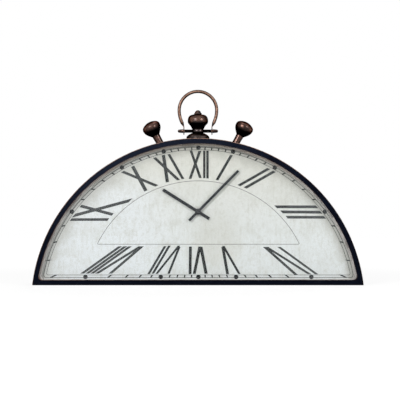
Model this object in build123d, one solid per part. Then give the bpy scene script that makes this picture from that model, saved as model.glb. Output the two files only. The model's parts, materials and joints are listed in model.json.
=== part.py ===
from build123d import *
import math
import os

# A half-moon table clock. Millimetres, +Z up, the front of the clock towards -Y.
# The origin is the middle of the flat underside, at half the depth.

# Case outline: one arc standing on a straight base
case_width = 496.0
case_height = 220.0
case_depth = 76.0
case_corner_radius = 1.0
sheet_wall = 1.2

# Front rim, glass and the frame between glass and dial
rim_width = 8.0
rim_thickness = 1.5
rim_edge_bevel = 0.5
window_corner_radius = 6.0
fit_gap = 0.5
inner_corner_radius = 3.0
gasket_thickness = 1.3
gasket_setback = 0.7
glass_thickness = 2.0
spacer_depth = 7.2
spacer_lip = 2.6
spacer_base_lip = 0.6

# Dial
dial_sheet_thickness = 0.3
dial_board_thickness = 3.0
hand_axis_height = 110.0
bush_clearance = 0.25

# Rear panel and its access opening
rear_panel_thickness = 3.0
rear_panel_recess = 3.0
access_width = 84.0
access_height = 84.0
access_corner_radius = 9.0

# Angle brackets that carry the dial board and the rear panel
bracket_width = 14.0
bracket_leg = 12.0
bracket_sheet = 1.2
arch_bracket_angles = (-60.0, -24.0, 24.0, 60.0)
base_bracket_place_shares = (-0.31, 0.31)
end_tab_height = 13.0
end_tab_margin = 15.0

# Panel screws
screw_radius = 1.5
screw_head_radius = 3.0
screw_head_height = 1.8
screw_head_bevel = 0.7
screw_bite = 2.2
screw_clearance = 0.05
screw_hole_clearance = 0.3

# Bolts that hold the crown and the pushers from inside the arch
bolt_radius = 2.0
bolt_head_radius = 4.0
bolt_head_height = 2.6
bolt_reach = 8.0
bolt_clearance = 0.05
bolt_hole_clearance = 0.3
washer_radius = 6.0
washer_thickness = 1.0
washer_seat_gap = 0.1

# Crown: a flared base, a bead with the cross pin through it, an onion and a button
crown_base_radius = 17.5
crown_base_height = 9.7
crown_base_skirt = 4.0
crown_base_shares = (
    ((0, 0),),
    ((1.0, 0),),
    ((1.0, 0.40),),
    ((0.87, 0.67), (0.63, 0.92)),
    ((0.56, 1.0),),
    ((0, 1.0),),
)
spigot_radius = 5.0
spigot_rise = 7.0
spigot_clearance = 0.1
collar_radius = 9.25
collar_height = 6.4
collar_edge_share = 0.88
onion_radius = 15.9
onion_height = 21.8
onion_shares = (
    ((0.585, 0.03),),
    ((0.686, 0.18), (0.875, 0.345)),
    ((0.96, 0.45), (0.978, 0.565)),
    ((0.965, 0.69), (0.912, 0.807)),
    ((0.79, 0.925), (0.50, 1.0)),
    ((0, 1.0),),
)
button_radius = 6.0
button_height = 6.9
button_shares = (
    ((0, 0),),
    ((0.9, 0),),
    ((1.0, 0.17), (0.9, 0.34)),
    ((0.8, 0.36),),
)
button_stud_radius = 2.0
button_stud_bite = 5.0
button_stud_clearance = 0.1

# Cross pin, its acorn caps and the bail that swings on it
pin_radius = 2.45
pin_hole_clearance = 0.05
bail_ring_radius = 28.6
bail_ring_rise = 31.9
bail_flank_radius = 43.75
bail_rod_radius = 2.5
bail_leg_lean = 24.2
bail_taper_top = 12.5
bail_tab_top = 6.5
bail_tab_thickness = 1.4
bail_tab_radius = 5.6
bail_tab_clearance = 0.1
cap_radius = 2.9
cap_length = 8.4
cap_gap = 0.25
cap_bore_depth = 5.0
cap_shares = (
    ((0, 0),),
    ((0.9, 0),),
    ((1.0, 0.08), (0.97, 0.2)),
    ((0.84, 0.70),),
)

# Pushers: fixed ornaments that point at the hand axis
pusher_lean = 28.9
pusher_height = 37.4
pusher_radius = 14.1
pusher_skirt = 5.0
pusher_shares = (
    ((0.40, 0),),
    ((0.398, 0.2), (0.425, 0.385)),
    ((0.60, 0.455), (0.79, 0.54)),
    ((0.95, 0.65), (1.0, 0.765)),
    ((0.955, 0.84), (0.81, 0.905)),
)

# Quartz movement, seen from the front: gears above, battery bay below
movement_corner_radius = 2.5
movement_wall = 1.2
movement_cover_thickness = 1.2
bay_floor = 0.7
bay_side_gap = 0.35
bay_partition = 1.0
wheel_gap_below = 1.3
coil_gap_above = 0.5
coil_gap_behind = 1.45
ear_reach = 8.0
ear_width = 12.0
ear_thickness = 2.4
ear_corner_radius = 2.0
pad_radius = 12.0
pad_thickness = 1.0
pad_clearance = 0.3
bush_radius = 4.0
bush_flange_radius = 5.5
bush_flange_thickness = 0.8
post_radius = 1.0

# Gear layers inside the movement, counted from the dial side
first_layer_gap = 0.35
layer_pitch = 1.4
wheel_thickness = 0.9

# Tooth form, as shares of the module and of the tooth pitch
addendum_share = 0.75
dedendum_share = 1.05
tooth_tip_share = 0.10
tooth_root_share = 0.26

# Motion work: the minute arbor turns the hour wheel through the minute wheel
motion_distance = 11.0
motion_angle = 0.0
cannon_teeth = 12
minute_wheel_teeth = 36
minute_pinion_teeth = 10
hour_wheel_teeth = 40

# Drive train: rotor, intermediate, seconds, third and centre wheels
train_distance = 10.2
rotor_distance = 7.7
third_angle = 150.0
intermediate_angle = 50.0
rotor_angle = 90.0
rotor_teeth = 10
intermediate_wheel_teeth = 60
intermediate_pinion_teeth = 12
seconds_wheel_teeth = 60
seconds_pinion_teeth = 8
third_wheel_teeth = 60
third_pinion_teeth = 8
centre_wheel_teeth = 64

# Arbors and pivots
pivot_radius = 0.4
pivot_hole_radius = 0.55
pivot_hole_depth = 0.8
pivot_end_play = 0.15
running_gap = 0.15
minute_arbor_radius = 1.3
minute_tail_radius = 1.0
minute_tip_radius = 0.9
hour_pipe_inner_radius = 1.45
hour_pipe_outer_radius = 2.5
seconds_bore_depth = 1.6
set_arbor_radius = 1.0
set_knob_radius = 5.5
set_knob_height = 4.6
set_knob_gap = 0.4
set_knob_flutes = 16
set_knob_flute_radius = 0.7
push_fit = 0.03

# Stepping motor
magnet_radius = 3.1
stator_hole_radius = 3.8
stator_length = 26.0
stator_height = 9.2
stator_thickness = 1.0
stator_lug_width = 3.5
stator_lug_height = 4.3
core_height = 2.4
coil_length = 17.0
coil_radius = 3.1
coil_wire_radius = 2.7
coil_tube_radius = 2.0
coil_flange_thickness = 0.8
coil_slot_clearance = 0.1

# Circuit board with its crystal
board_width = 14.0
board_height = 18.0
board_thickness = 0.8
board_wall_gap = 1.3
board_post_share = 0.38
crystal_radius = 1.0
crystal_length = 6.0

# Battery cell and contacts
cell_radius = 7.25
cell_length = 50.5
cell_nub_radius = 2.75
cell_nub_length = 1.0
contact_thickness = 0.4
contact_height = 10.0
contact_boss_radius = 2.4
contact_boss_depth = 0.85
contact_cell_gap = 0.3

# Hands, at the time shown: degrees clockwise from twelve
hand_thickness = 0.5
hand_step = 0.3
minute_hand_angle = 44.6
minute_hand_margin = 12.9
minute_hand_tail = 19.0
minute_hand_width = 3.8
minute_hub_radius = 4.2
hour_hand_angle = -57.9
hour_hand_share = 0.717
hour_hand_tail = 20.0
hour_hand_width = 4.7
hour_hub_radius = 4.6
hour_hand_clearance = 2.1
hand_spacing = 1.3
cap_nut_radius = 4.5
cap_nut_height = 1.7
cap_nut_shares = (
    ((0, 0),),
    ((1.0, 0),),
    ((1.0, 0.50),),
    ((0.92, 0.66),),
)

# Places that follow from the sizes above
outline_radius = (case_width**2 / 4 + case_height**2) / (2 * case_height)
arch_z = case_height - outline_radius
front_y = -case_depth / 2
back_y = case_depth / 2
rim_back_y = front_y + rim_thickness
glass_front_y = rim_back_y + gasket_thickness
glass_back_y = glass_front_y + glass_thickness
dial_front_y = glass_back_y + spacer_depth
board_front_y = dial_front_y + dial_sheet_thickness
board_back_y = board_front_y + dial_board_thickness
movement_front_y = board_back_y + pad_thickness
chamber_front_y = movement_front_y + movement_wall
panel_back_y = back_y - rear_panel_recess
panel_front_y = panel_back_y - rear_panel_thickness
inner_inset = sheet_wall + fit_gap
hand_axis = (0, hand_axis_height)
first_layer_y = chamber_front_y + bush_flange_thickness + first_layer_gap
hour_hand_back_y = dial_front_y - hour_hand_clearance
minute_hand_back_y = hour_hand_back_y - hand_thickness - hand_spacing
arch_bolt_radius = outline_radius - sheet_wall - washer_seat_gap
collar_z = case_height + crown_base_height
pin_z = collar_z + collar_height / 2
onion_z = collar_z + collar_height
onion_top_z = onion_z + onion_height
chamber_half_width = cell_length / 2 + contact_cell_gap + contact_boss_depth + contact_thickness
movement_half_width = chamber_half_width + movement_wall
dial_reach = min(hand_axis_height, case_height - hand_axis_height) - rim_width - spacer_lip
minute_hand_reach = dial_reach - minute_hand_margin
hour_hand_reach = minute_hand_reach * hour_hand_share


def half_moon(inset, corner=0, base_inset=None):
    """The case outline as a face in x and z, drawn in by a margin; the base may have its own."""
    radius = outline_radius - inset
    base = inset if base_inset is None else base_inset
    half_width = math.sqrt(radius**2 - (base - arch_z) ** 2)
    left = (-half_width, base)
    right = (half_width, base)
    crest = (0, arch_z + radius)
    face = make_face([Line(left, right), ThreePointArc(right, crest, left)])
    return fillet(face.vertices(), corner) if corner else face


def slab(face, start_y, end_y):
    """A face drawn in x and z, made solid between two depths."""
    return extrude(Plane.XZ.offset(-end_y) * face, amount=end_y - start_y)


def disc(place, radius, start_y, end_y):
    return slab(Pos(*place) * Circle(radius), start_y, end_y)


def tube(place, outer, inner, start_y, end_y):
    return slab(Pos(*place) * (Circle(outer) - Circle(inner)), start_y, end_y)


def plate(left, right, bottom, top, start_y, end_y):
    """A straight block between limits in x, z and y."""
    middle = ((left + right) / 2, (bottom + top) / 2)
    return slab(Pos(*middle) * Rectangle(right - left, top - bottom), start_y, end_y)


def along(start, distance, angle):
    """The place at a distance from start; the angle runs from +X towards +Z."""
    turn = math.radians(angle)
    return (start[0] + distance * math.cos(turn), start[1] + distance * math.sin(turn))


def dome(start, top):
    """An arc about a middle on the axis, from a place beside the axis up to its top."""
    radius, height = start
    middle = (top**2 - radius**2 - height**2) / (2 * (top - height))
    half_turn = math.atan2(radius, height - middle) / 2
    reach = top - middle
    halfway = (reach * math.sin(half_turn), middle + reach * math.cos(half_turn))
    return ThreePointArc(start, halfway, (0, top))


def turned(shares, radius, height, domed=False):
    """A solid turned about Z. Each step holds the end of a straight line, or a place
    on an arc and then its end, as shares of the radius and the height. A domed one
    is closed by a round top."""
    steps = [[(r * radius, h * height) for r, h in step] for step in shares]
    edges = []
    here = steps[0][-1]
    for step in steps[1:]:
        edges.append(ThreePointArc(here, *step) if len(step) > 1 else Line(here, *step))
        here = step[-1]
    if domed:
        edges.append(dome(here, height))
        here = (0, height)
    edges.append(Line(here, steps[0][-1]))
    return revolve(Plane.XZ * make_face(edges), Axis.Z)


def around_arch(shape, angle):
    """Carries a shape from the top of the arch to another angle on it."""
    return Pos(0, 0, arch_z) * Rot(0, angle, 0) * Pos(0, 0, -arch_z) * shape


def group(solids):
    return Compound(children=list(solids))


# Case

def outline_solid():
    return slab(half_moon(0, case_corner_radius), rim_back_y, back_y)


def arch_bolt_hole(angle):
    hole = Pos(0, 0, arch_z + outline_radius) * Cylinder(bolt_radius + bolt_hole_clearance, bolt_reach)
    return around_arch(hole, angle)


def arch_bolt_angles():
    """Crown in the middle, a pusher on each side where its axis meets the arch."""
    lean = math.radians(pusher_lean)
    rise = hand_axis_height - arch_z
    reach = math.sqrt(outline_radius**2 - (rise * math.sin(lean)) ** 2) - rise * math.cos(lean)
    side = math.degrees(math.asin(reach * math.sin(lean) / outline_radius))
    return (0.0, -side, side), reach


bolt_angles, pusher_reach = arch_bolt_angles()


def arch_band():
    ring = half_moon(0, case_corner_radius) - half_moon(sheet_wall)
    band = slab(ring, rim_back_y, back_y)
    band -= plate(-case_width, case_width, -sheet_wall, sheet_wall, front_y, back_y)
    for angle in bolt_angles:
        band -= arch_bolt_hole(angle)
    return band


def base_panel():
    """The floor, with a tab turned up at each end to meet the arch."""
    floor = outline_solid() & plate(-case_width, case_width, 0, sheet_wall, rim_back_y, back_y)
    tab_ring = half_moon(sheet_wall) - half_moon(sheet_wall * 2)
    tabs = slab(tab_ring, board_back_y + end_tab_margin, panel_front_y - end_tab_margin)
    return floor + (tabs & plate(-case_width, case_width, sheet_wall, end_tab_height, front_y, back_y))


def front_rim():
    rim = slab(half_moon(0, case_corner_radius), front_y, rim_back_y)
    rim = chamfer(rim.faces().sort_by(Axis.Y)[0].edges(), rim_edge_bevel)
    window = slab(half_moon(rim_width, window_corner_radius), front_y, rim_back_y)
    rim -= window
    inner_edges = rim.faces().sort_by(Axis.Y)[0].inner_wires()[0].edges()
    return chamfer(inner_edges, rim_edge_bevel)


def glass_gasket():
    strip = half_moon(inner_inset, inner_corner_radius)
    strip -= half_moon(rim_width - gasket_setback, window_corner_radius)
    return slab(strip, rim_back_y, glass_front_y)


def glass_lens():
    return slab(half_moon(inner_inset, inner_corner_radius), glass_front_y, glass_back_y)


def dial_spacer():
    inside = half_moon(rim_width + spacer_lip, window_corner_radius, rim_width + spacer_base_lip)
    return slab(half_moon(inner_inset, inner_corner_radius) - inside, glass_back_y, dial_front_y)


def dial_layer(start_y, end_y):
    face = half_moon(inner_inset, inner_corner_radius)
    face -= Pos(*hand_axis) * Circle(bush_radius + bush_clearance)
    return slab(face, start_y, end_y)


def ear_places():
    reach = movement_half_width + ear_reach / 2
    return [(side * reach, hand_axis_height) for side in (-1, 1)]


def dial_board():
    board = dial_layer(board_front_y, board_back_y)
    for place in arch_places(dial_foot_radius) + base_places() + ear_places():
        hole_start = board_back_y - screw_bite - fit_gap
        board -= disc(place, screw_radius + screw_clearance, hole_start, board_back_y)
    return board


# Brackets and screws

dial_foot_radius = outline_radius - sheet_wall - bracket_leg / 2


def arch_places(radius):
    """Screw places on a circle about the arch centre."""
    return [along((0, arch_z), radius, 90 - angle) for angle in arch_bracket_angles]


def base_places():
    height = sheet_wall + bracket_leg / 2
    return [(share * case_width, height) for share in base_bracket_place_shares]


def bracket(face_of, seat_y, direction):
    """An angle bracket: its foot lies at seat_y, its leg runs on along the case wall."""
    foot_end = seat_y + direction * bracket_sheet
    leg_end = seat_y + direction * bracket_leg
    foot = slab(face_of(bracket_leg), min(seat_y, foot_end), max(seat_y, foot_end))
    leg = slab(face_of(bracket_sheet), min(seat_y, leg_end), max(seat_y, leg_end))
    return foot + leg


def arch_strip(depth):
    """A piece of ring just inside the arch, at its top, as deep as asked."""
    outer = outline_radius - sheet_wall
    ring = Circle(outer) - Circle(outer - depth)
    strip = ring & Pos(0, outer) * Rectangle(bracket_width, bracket_leg * 4)
    return Pos(0, arch_z) * strip


def base_strip(depth):
    return Pos(0, sheet_wall + depth / 2) * Rectangle(bracket_width, depth)


def brackets(seat_y, direction, hole_radius):
    pieces = []
    for angle in arch_bracket_angles:
        pieces.append(around_arch(bracket(arch_strip, seat_y, direction), angle))
    for place in base_places():
        pieces.append(Pos(place[0], 0, 0) * bracket(base_strip, seat_y, direction))
    holes = arch_places(dial_foot_radius) + base_places()
    reach = bracket_leg * direction
    start_y, end_y = min(seat_y, seat_y + reach), max(seat_y, seat_y + reach)
    return group(piece - disc(hole, hole_radius, start_y, end_y) for piece, hole in zip(pieces, holes))


def screw(place, head_y, length):
    """A pan-head screw whose shank points to the front from the seat of its head."""
    head = disc(place, screw_head_radius, head_y, head_y + screw_head_height)
    head = chamfer(head.faces().sort_by(Axis.Y)[-1].edges(), screw_head_bevel)
    return head + disc(place, screw_radius, head_y - length, head_y)


def dial_screws():
    seat = board_back_y + bracket_sheet
    return group(screw(place, seat, bracket_sheet + screw_bite)
                 for place in arch_places(dial_foot_radius) + base_places())


def rear_screws():
    length = rear_panel_thickness + bracket_sheet + screw_bite
    places = arch_places(dial_foot_radius) + base_places()
    return group(screw(place, panel_back_y, length) for place in places)


def movement_screws():
    seat = board_back_y + ear_thickness
    return group(screw(place, seat, ear_thickness + screw_bite) for place in ear_places())


def rear_panel():
    face = half_moon(inner_inset, inner_corner_radius)
    face -= Pos(*hand_axis) * RectangleRounded(access_width, access_height, access_corner_radius)
    panel = slab(face, panel_front_y, panel_back_y)
    for place in arch_places(dial_foot_radius) + base_places():
        panel -= disc(place, screw_radius + screw_hole_clearance, panel_front_y, panel_back_y)
    return panel


# Crown and pushers

def arch_bolt(angle):
    """A bolt with its head inside the arch and its shank out through the band."""
    seat_z = arch_z + arch_bolt_radius - washer_thickness
    length = washer_thickness + washer_seat_gap + sheet_wall + bolt_reach
    head = Pos(0, 0, seat_z - bolt_head_height / 2) * Cylinder(bolt_head_radius, bolt_head_height)
    shank = Pos(0, 0, seat_z + length / 2) * Cylinder(bolt_radius, length)
    return around_arch(head + shank, angle)


def arch_washer(angle):
    ring = Cylinder(washer_radius, washer_thickness)
    ring -= Cylinder(bolt_radius + bolt_hole_clearance, washer_thickness)
    return around_arch(Pos(0, 0, arch_z + arch_bolt_radius - washer_thickness / 2) * ring, angle)


def tapped_hole(angle):
    """The hole that an arch bolt screws into, in the piece that stands on the arch."""
    depth = bolt_reach + bolt_hole_clearance
    hole = Cylinder(bolt_radius + bolt_clearance, depth * 2)
    return around_arch(Pos(0, 0, arch_z + outline_radius) * hole, angle)


def pin_hole():
    hole = Cylinder(pin_radius + pin_hole_clearance, collar_radius * 2)
    return Pos(0, 0, pin_z) * Rot(0, 90, 0) * hole


def spigot_top():
    return onion_z + spigot_rise


def button_stud_end():
    return spigot_top() - button_stud_bite


def crown_base():
    base = Pos(0, 0, case_height) * turned(crown_base_shares, crown_base_radius, crown_base_height)
    base += Pos(0, 0, case_height - crown_base_skirt / 2) * Cylinder(crown_base_radius, crown_base_skirt)
    base -= outline_solid()
    base -= tapped_hole(0)
    spigot_height = spigot_top() - collar_z
    base += Pos(0, 0, collar_z + spigot_height / 2) * Cylinder(spigot_radius, spigot_height)
    depth = button_stud_bite + button_stud_clearance
    socket = Cylinder(button_stud_radius + button_stud_clearance, depth)
    base -= Pos(0, 0, spigot_top() - depth / 2) * socket
    return base - pin_hole()


def crown_collar():
    bore = spigot_radius + spigot_clearance
    edge = collar_radius * collar_edge_share
    middle = collar_height / 2
    profile = make_face([
        Line((bore, 0), (edge, 0)),
        ThreePointArc((edge, 0), (collar_radius, middle), (edge, collar_height)),
        Line((edge, collar_height), (bore, collar_height)),
        Line((bore, collar_height), (bore, 0)),
    ])
    return Pos(0, 0, collar_z) * revolve(Plane.XZ * profile, Axis.Z) - pin_hole()


def crown_onion():
    neck = ((0, 0),), ((onion_shares[0][0][0], 0),)
    onion = Pos(0, 0, onion_z) * turned(neck + onion_shares, onion_radius, onion_height)
    depth = spigot_rise + spigot_clearance
    onion -= Pos(0, 0, onion_z + depth / 2) * Cylinder(spigot_radius + spigot_clearance, depth)
    stud_hole = Cylinder(button_stud_radius + button_stud_clearance, onion_height)
    return onion - Pos(0, 0, onion_z + onion_height / 2) * stud_hole


def crown_button():
    button = Pos(0, 0, onion_top_z) * turned(button_shares, button_radius, button_height, True)
    length = onion_top_z - button_stud_end()
    return button + Pos(0, 0, onion_top_z - length / 2) * Cylinder(button_stud_radius, length)


def pusher(side):
    """A turned knob that leans out from the hand axis, its foot cut to the arch."""
    body = turned((((0, 0),),) + pusher_shares, pusher_radius, pusher_height, True)
    foot_radius = pusher_radius * pusher_shares[0][0][0]
    body += Pos(0, 0, -pusher_skirt / 2) * Cylinder(foot_radius, pusher_skirt)
    knob = Pos(0, 0, hand_axis_height) * Rot(0, side * pusher_lean, 0) * Pos(0, 0, pusher_reach) * body
    return knob - outline_solid() - tapped_hole(bolt_angles[1] * -side)


# Bail

def bail_flank(angle):
    """A place on the right flank, which runs on from the half ring with a larger radius."""
    turn = math.radians(angle)
    inward = bail_flank_radius * (1 - math.cos(turn))
    return bail_ring_radius - inward, pin_z + bail_ring_rise - bail_flank_radius * math.sin(turn)


def bail_line():
    """Lower end of the flank, end of the round rod and middle of the tab, on the right side."""
    lean = math.radians(bail_leg_lean)
    tangent = bail_flank(bail_leg_lean)
    taper = tangent[0] - (tangent[1] - pin_z - bail_taper_top) * math.tan(lean)
    tab = tangent[0] - (tangent[1] - pin_z - bail_tab_top) * math.tan(lean)
    return tangent, taper, tab


bail_tangent, bail_taper_x, bail_tab_x = bail_line()


def bail_foot(side):
    """The end of a leg, hammered out into a thin tab with the pin hole."""
    taper_z = pin_z + bail_taper_top
    tab_z = pin_z + bail_tab_top
    lean = Vector(side * (bail_tangent[0] - bail_taper_x), 0, bail_tangent[1] - taper_z).normalized()
    round_plane = Plane((side * bail_taper_x, 0, taper_z), x_dir=(0, 1, 0), z_dir=lean)
    round_end = round_plane * Circle(bail_rod_radius)
    flat = Rectangle(bail_tab_radius * 2, bail_tab_thickness)
    flat_end = Plane((side * bail_tab_x, 0, tab_z), x_dir=(0, 1, 0), z_dir=(0, 0, 1)) * flat
    tab_plane = Plane((side * bail_tab_x, 0, pin_z), x_dir=(0, 1, 0), z_dir=(1, 0, 0))
    tab = Circle(bail_tab_radius)
    tab += Pos(0, bail_tab_top / 2) * Rectangle(bail_tab_radius * 2, bail_tab_top)
    tab -= Circle(pin_radius + bail_tab_clearance)
    flattened = loft([round_end.face(), flat_end.face()])
    return flattened + extrude(tab_plane * tab, amount=bail_tab_thickness / 2, both=True)


def bail():
    crest = (0, 0, pin_z + bail_ring_rise + bail_ring_radius)
    places = [(bail_taper_x, pin_z + bail_taper_top), bail_tangent]
    places += [bail_flank(bail_leg_lean / 2), bail_flank(0)]
    left, right = [[(side * x, 0, z) for x, z in places] for side in (-1, 1)]
    left_leg = Line(left[0], left[1])
    path = left_leg + ThreePointArc(*left[1:]) + ThreePointArc(left[3], crest, right[3])
    path += ThreePointArc(right[3], right[2], right[1]) + Line(right[1], right[0])
    rod = sweep(Plane(left_leg @ 0, z_dir=left_leg % 0) * Circle(bail_rod_radius), path=path)
    return rod + bail_foot(-1) + bail_foot(1)


def cap_seat():
    return bail_tab_x + bail_tab_thickness / 2 + cap_gap


def cross_pin():
    length = (cap_seat() + cap_bore_depth - pin_hole_clearance) * 2
    return Pos(0, 0, pin_z) * Rot(0, 90, 0) * Cylinder(pin_radius, length)


def pin_caps():
    cap = turned(cap_shares, cap_radius, cap_length, True)
    bore = Cylinder(pin_radius + pin_hole_clearance, cap_bore_depth * 2)
    cap -= bore
    return group(Pos(side * cap_seat(), 0, pin_z) * Rot(0, side * 90, 0) * cap for side in (-1, 1))


# Movement

def layer_y(number):
    return first_layer_y + number * layer_pitch


def gear_face(teeth, pitch_radius, turn):
    """A toothed outline with straight flanks; turn is the angle of one tooth."""
    module = pitch_radius * 2 / teeth
    tip = pitch_radius + addendum_share * module
    root = pitch_radius - dedendum_share * module
    corners = ((root, -tooth_root_share), (tip, -tooth_tip_share))
    corners += ((tip, tooth_tip_share), (root, tooth_root_share))
    places = []
    for tooth in range(teeth):
        for radius, share in corners:
            places.append(along((0, 0), radius, turn + (tooth + share) * 360 / teeth))
    return make_face(Polyline(*places, close=True))


def mesh(distance, angle, driver_teeth, follower_teeth):
    """Two gears in mesh: a tooth of the driver stands in a gap of the follower.
    Gives each one's pitch radius and the turn of a tooth; the angle runs from the
    driver's middle to the follower's."""
    driver_radius = distance * driver_teeth / (driver_teeth + follower_teeth)
    follower_turn = angle + 180 + 180 / follower_teeth
    return (driver_teeth, driver_radius, angle), (follower_teeth, distance - driver_radius, follower_turn)


def gear(place, form, number):
    start = layer_y(number)
    return slab(Pos(*place) * gear_face(*form), start, start + wheel_thickness)


set_place = along(hand_axis, motion_distance, motion_angle)
third_place = along(hand_axis, train_distance, third_angle)
intermediate_place = along(hand_axis, train_distance, intermediate_angle)
rotor_place = along(intermediate_place, rotor_distance, rotor_angle)

cannon_form, minute_wheel_form = mesh(motion_distance, motion_angle, cannon_teeth, minute_wheel_teeth)
minute_pinion_form, hour_wheel_form = mesh(
    motion_distance, motion_angle + 180, minute_pinion_teeth, hour_wheel_teeth)
rotor_form, intermediate_wheel_form = mesh(
    rotor_distance, rotor_angle + 180, rotor_teeth, intermediate_wheel_teeth)
intermediate_pinion_form, seconds_wheel_form = mesh(
    train_distance, intermediate_angle + 180, intermediate_pinion_teeth, seconds_wheel_teeth)
seconds_pinion_form, third_wheel_form = mesh(
    train_distance, third_angle, seconds_pinion_teeth, third_wheel_teeth)
third_pinion_form, centre_wheel_form = mesh(
    train_distance, third_angle + 180, third_pinion_teeth, centre_wheel_teeth)



def tip_radius(form):
    teeth, pitch_radius, turn = form
    return pitch_radius + addendum_share * pitch_radius * 2 / teeth


# The housing: as wide as the cell and its contacts, as high as the wheels, the coil and the bay
stator_front_y = layer_y(6)
stator_back_y = stator_front_y + stator_thickness
stator_top = rotor_place[1] + stator_height / 2
core_z = stator_top + stator_lug_height - core_height / 2
core_y = stator_front_y - stator_thickness / 2
chamber_top = core_z + coil_radius + coil_gap_above
chamber_bottom = hand_axis_height - tip_radius(centre_wheel_form) - wheel_gap_below
chamber_back_y = core_y + coil_radius + coil_gap_behind
movement_back_y = chamber_back_y + movement_cover_thickness
bay_top = chamber_bottom - bay_partition
bay_bottom = bay_top - cell_radius * 2 - bay_side_gap * 2
movement_top = chamber_top + movement_wall
movement_bottom = bay_bottom - movement_wall
pivot_front_y = chamber_front_y - pivot_hole_depth + pivot_end_play
pivot_back_y = chamber_back_y + pivot_hole_depth - pivot_end_play
minute_arbor_back_y = layer_y(2) + wheel_thickness + running_gap
board_middle_x = -chamber_half_width + board_wall_gap + board_width / 2


def arbor(place, pieces):
    """A thin arbor from pivot to pivot with its wheels and pinions on it."""
    shaft = disc(place, pivot_radius, pivot_front_y, pivot_back_y)
    for piece in pieces:
        shaft += piece
    return shaft


def rotor():
    magnet = disc(rotor_place, magnet_radius, stator_front_y, stator_back_y)
    return arbor(rotor_place, [gear(rotor_place, rotor_form, 5), magnet])


def intermediate_wheel():
    wheel = gear(intermediate_place, intermediate_wheel_form, 5)
    return arbor(intermediate_place, [wheel, gear(intermediate_place, intermediate_pinion_form, 4)])


def seconds_wheel():
    """It turns in the end of the minute arbor, in line with the hands."""
    front = minute_arbor_back_y - seconds_bore_depth + running_gap
    shaft = disc(hand_axis, pivot_radius, front, pivot_back_y)
    return shaft + gear(hand_axis, seconds_wheel_form, 4) + gear(hand_axis, seconds_pinion_form, 3)


def third_wheel():
    wheel = gear(third_place, third_wheel_form, 3)
    return arbor(third_place, [wheel, gear(third_place, third_pinion_form, 2)])


def centre_wheel():
    """It grips the minute arbor by friction, so the hands can be set past it."""
    start = layer_y(2)
    hole = disc(hand_axis, minute_tail_radius + running_gap, start, start + wheel_thickness)
    return gear(hand_axis, centre_wheel_form, 2) - hole


def minute_arbor():
    """Cannon pinion, a tail for the centre wheel and the long shaft to the minute hand."""
    shoulder_y = minute_hand_back_y
    body = gear(hand_axis, cannon_form, 1)
    body += disc(hand_axis, minute_arbor_radius, shoulder_y, layer_y(1))
    tip_y = shoulder_y - hand_thickness - cap_nut_height / 2
    body += disc(hand_axis, minute_tip_radius, tip_y, shoulder_y)
    body += disc(hand_axis, minute_tail_radius, layer_y(1), minute_arbor_back_y)
    bore_start = minute_arbor_back_y - seconds_bore_depth
    bore = disc(hand_axis, pivot_hole_radius, bore_start, minute_arbor_back_y)
    return body - bore


def hour_wheel():
    """The hour pipe and its wheel, running round the minute arbor."""
    wheel = gear(hand_axis, hour_wheel_form, 0)
    front = hour_hand_back_y - hand_thickness - hand_step
    pipe = disc(hand_axis, hour_pipe_outer_radius, front, layer_y(0))
    bore = disc(hand_axis, hour_pipe_inner_radius, front, layer_y(1))
    return wheel + pipe - bore


def minute_wheel():
    """Carries the setting shaft out through the cover to the knob."""
    shaft_back_y = movement_back_y + set_knob_gap + set_knob_height / 2
    shaft = disc(set_place, set_arbor_radius, layer_y(0), shaft_back_y)
    shaft += disc(set_place, pivot_radius, pivot_front_y, layer_y(0))
    shaft += gear(set_place, minute_pinion_form, 0)
    return shaft + gear(set_place, minute_wheel_form, 1)


def set_knob():
    start = movement_back_y + set_knob_gap
    face = Circle(set_knob_radius)
    for flute in range(set_knob_flutes):
        place = along((0, 0), set_knob_radius, flute * 360 / set_knob_flutes)
        face -= Pos(*place) * Circle(set_knob_flute_radius)
    knob = slab(Pos(*set_place) * face, start, start + set_knob_height)
    bore_end = start + set_knob_height / 2 + push_fit
    return knob - disc(set_place, set_arbor_radius + push_fit, start, bore_end)


def rounded_box(start_y, end_y):
    height = movement_top - movement_bottom
    face = RectangleRounded(movement_half_width * 2, height, movement_corner_radius)
    return slab(Pos(0, (movement_top + movement_bottom) / 2) * face, start_y, end_y)


def chamber(start_y, end_y):
    return plate(-chamber_half_width, chamber_half_width, chamber_bottom, chamber_top, start_y, end_y)


def stator_lug_x():
    return (stator_length - stator_lug_width) / 2


def board_post_places():
    rise = board_height * board_post_share
    left = board_middle_x - board_width / 2
    return [(left + post_radius * 2, hand_axis_height + side * rise) for side in (-1, 1)]


def stator_post_places():
    height = stator_top - post_radius * 2
    return [(rotor_place[0] + side * stator_lug_x(), height) for side in (-1, 1)]


def movement_case():
    """Front half of the housing: gear chamber, open battery bay, posts and ears."""
    shell = rounded_box(movement_front_y, chamber_back_y)
    shell -= chamber(chamber_front_y, chamber_back_y)
    bay_front = movement_front_y + bay_floor
    shell -= plate(-chamber_half_width, chamber_half_width, bay_bottom, bay_top, bay_front, chamber_back_y)
    for place in ear_places():
        ear = RectangleRounded(ear_reach * 2, ear_width, ear_corner_radius)
        ear_solid = slab(Pos(*place) * ear, board_back_y, board_back_y + ear_thickness)
        inside = plate(-chamber_half_width, chamber_half_width, bay_bottom, chamber_top, front_y, back_y)
        shell += ear_solid - inside
        ear_back_y = board_back_y + ear_thickness
        shell -= disc(place, screw_radius + screw_hole_clearance, board_back_y, ear_back_y)
    for place in stator_post_places():
        shell += disc(place, post_radius, chamber_front_y, stator_front_y)
    for place in board_post_places():
        shell += disc(place, post_radius, chamber_front_y, circuit_front_y())
    shell -= disc(hand_axis, bush_radius + screw_clearance, movement_front_y, chamber_front_y)
    for place in (set_place, third_place, intermediate_place, rotor_place):
        shell -= disc(place, pivot_hole_radius, chamber_front_y - pivot_hole_depth, chamber_front_y)
    return shell


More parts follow.
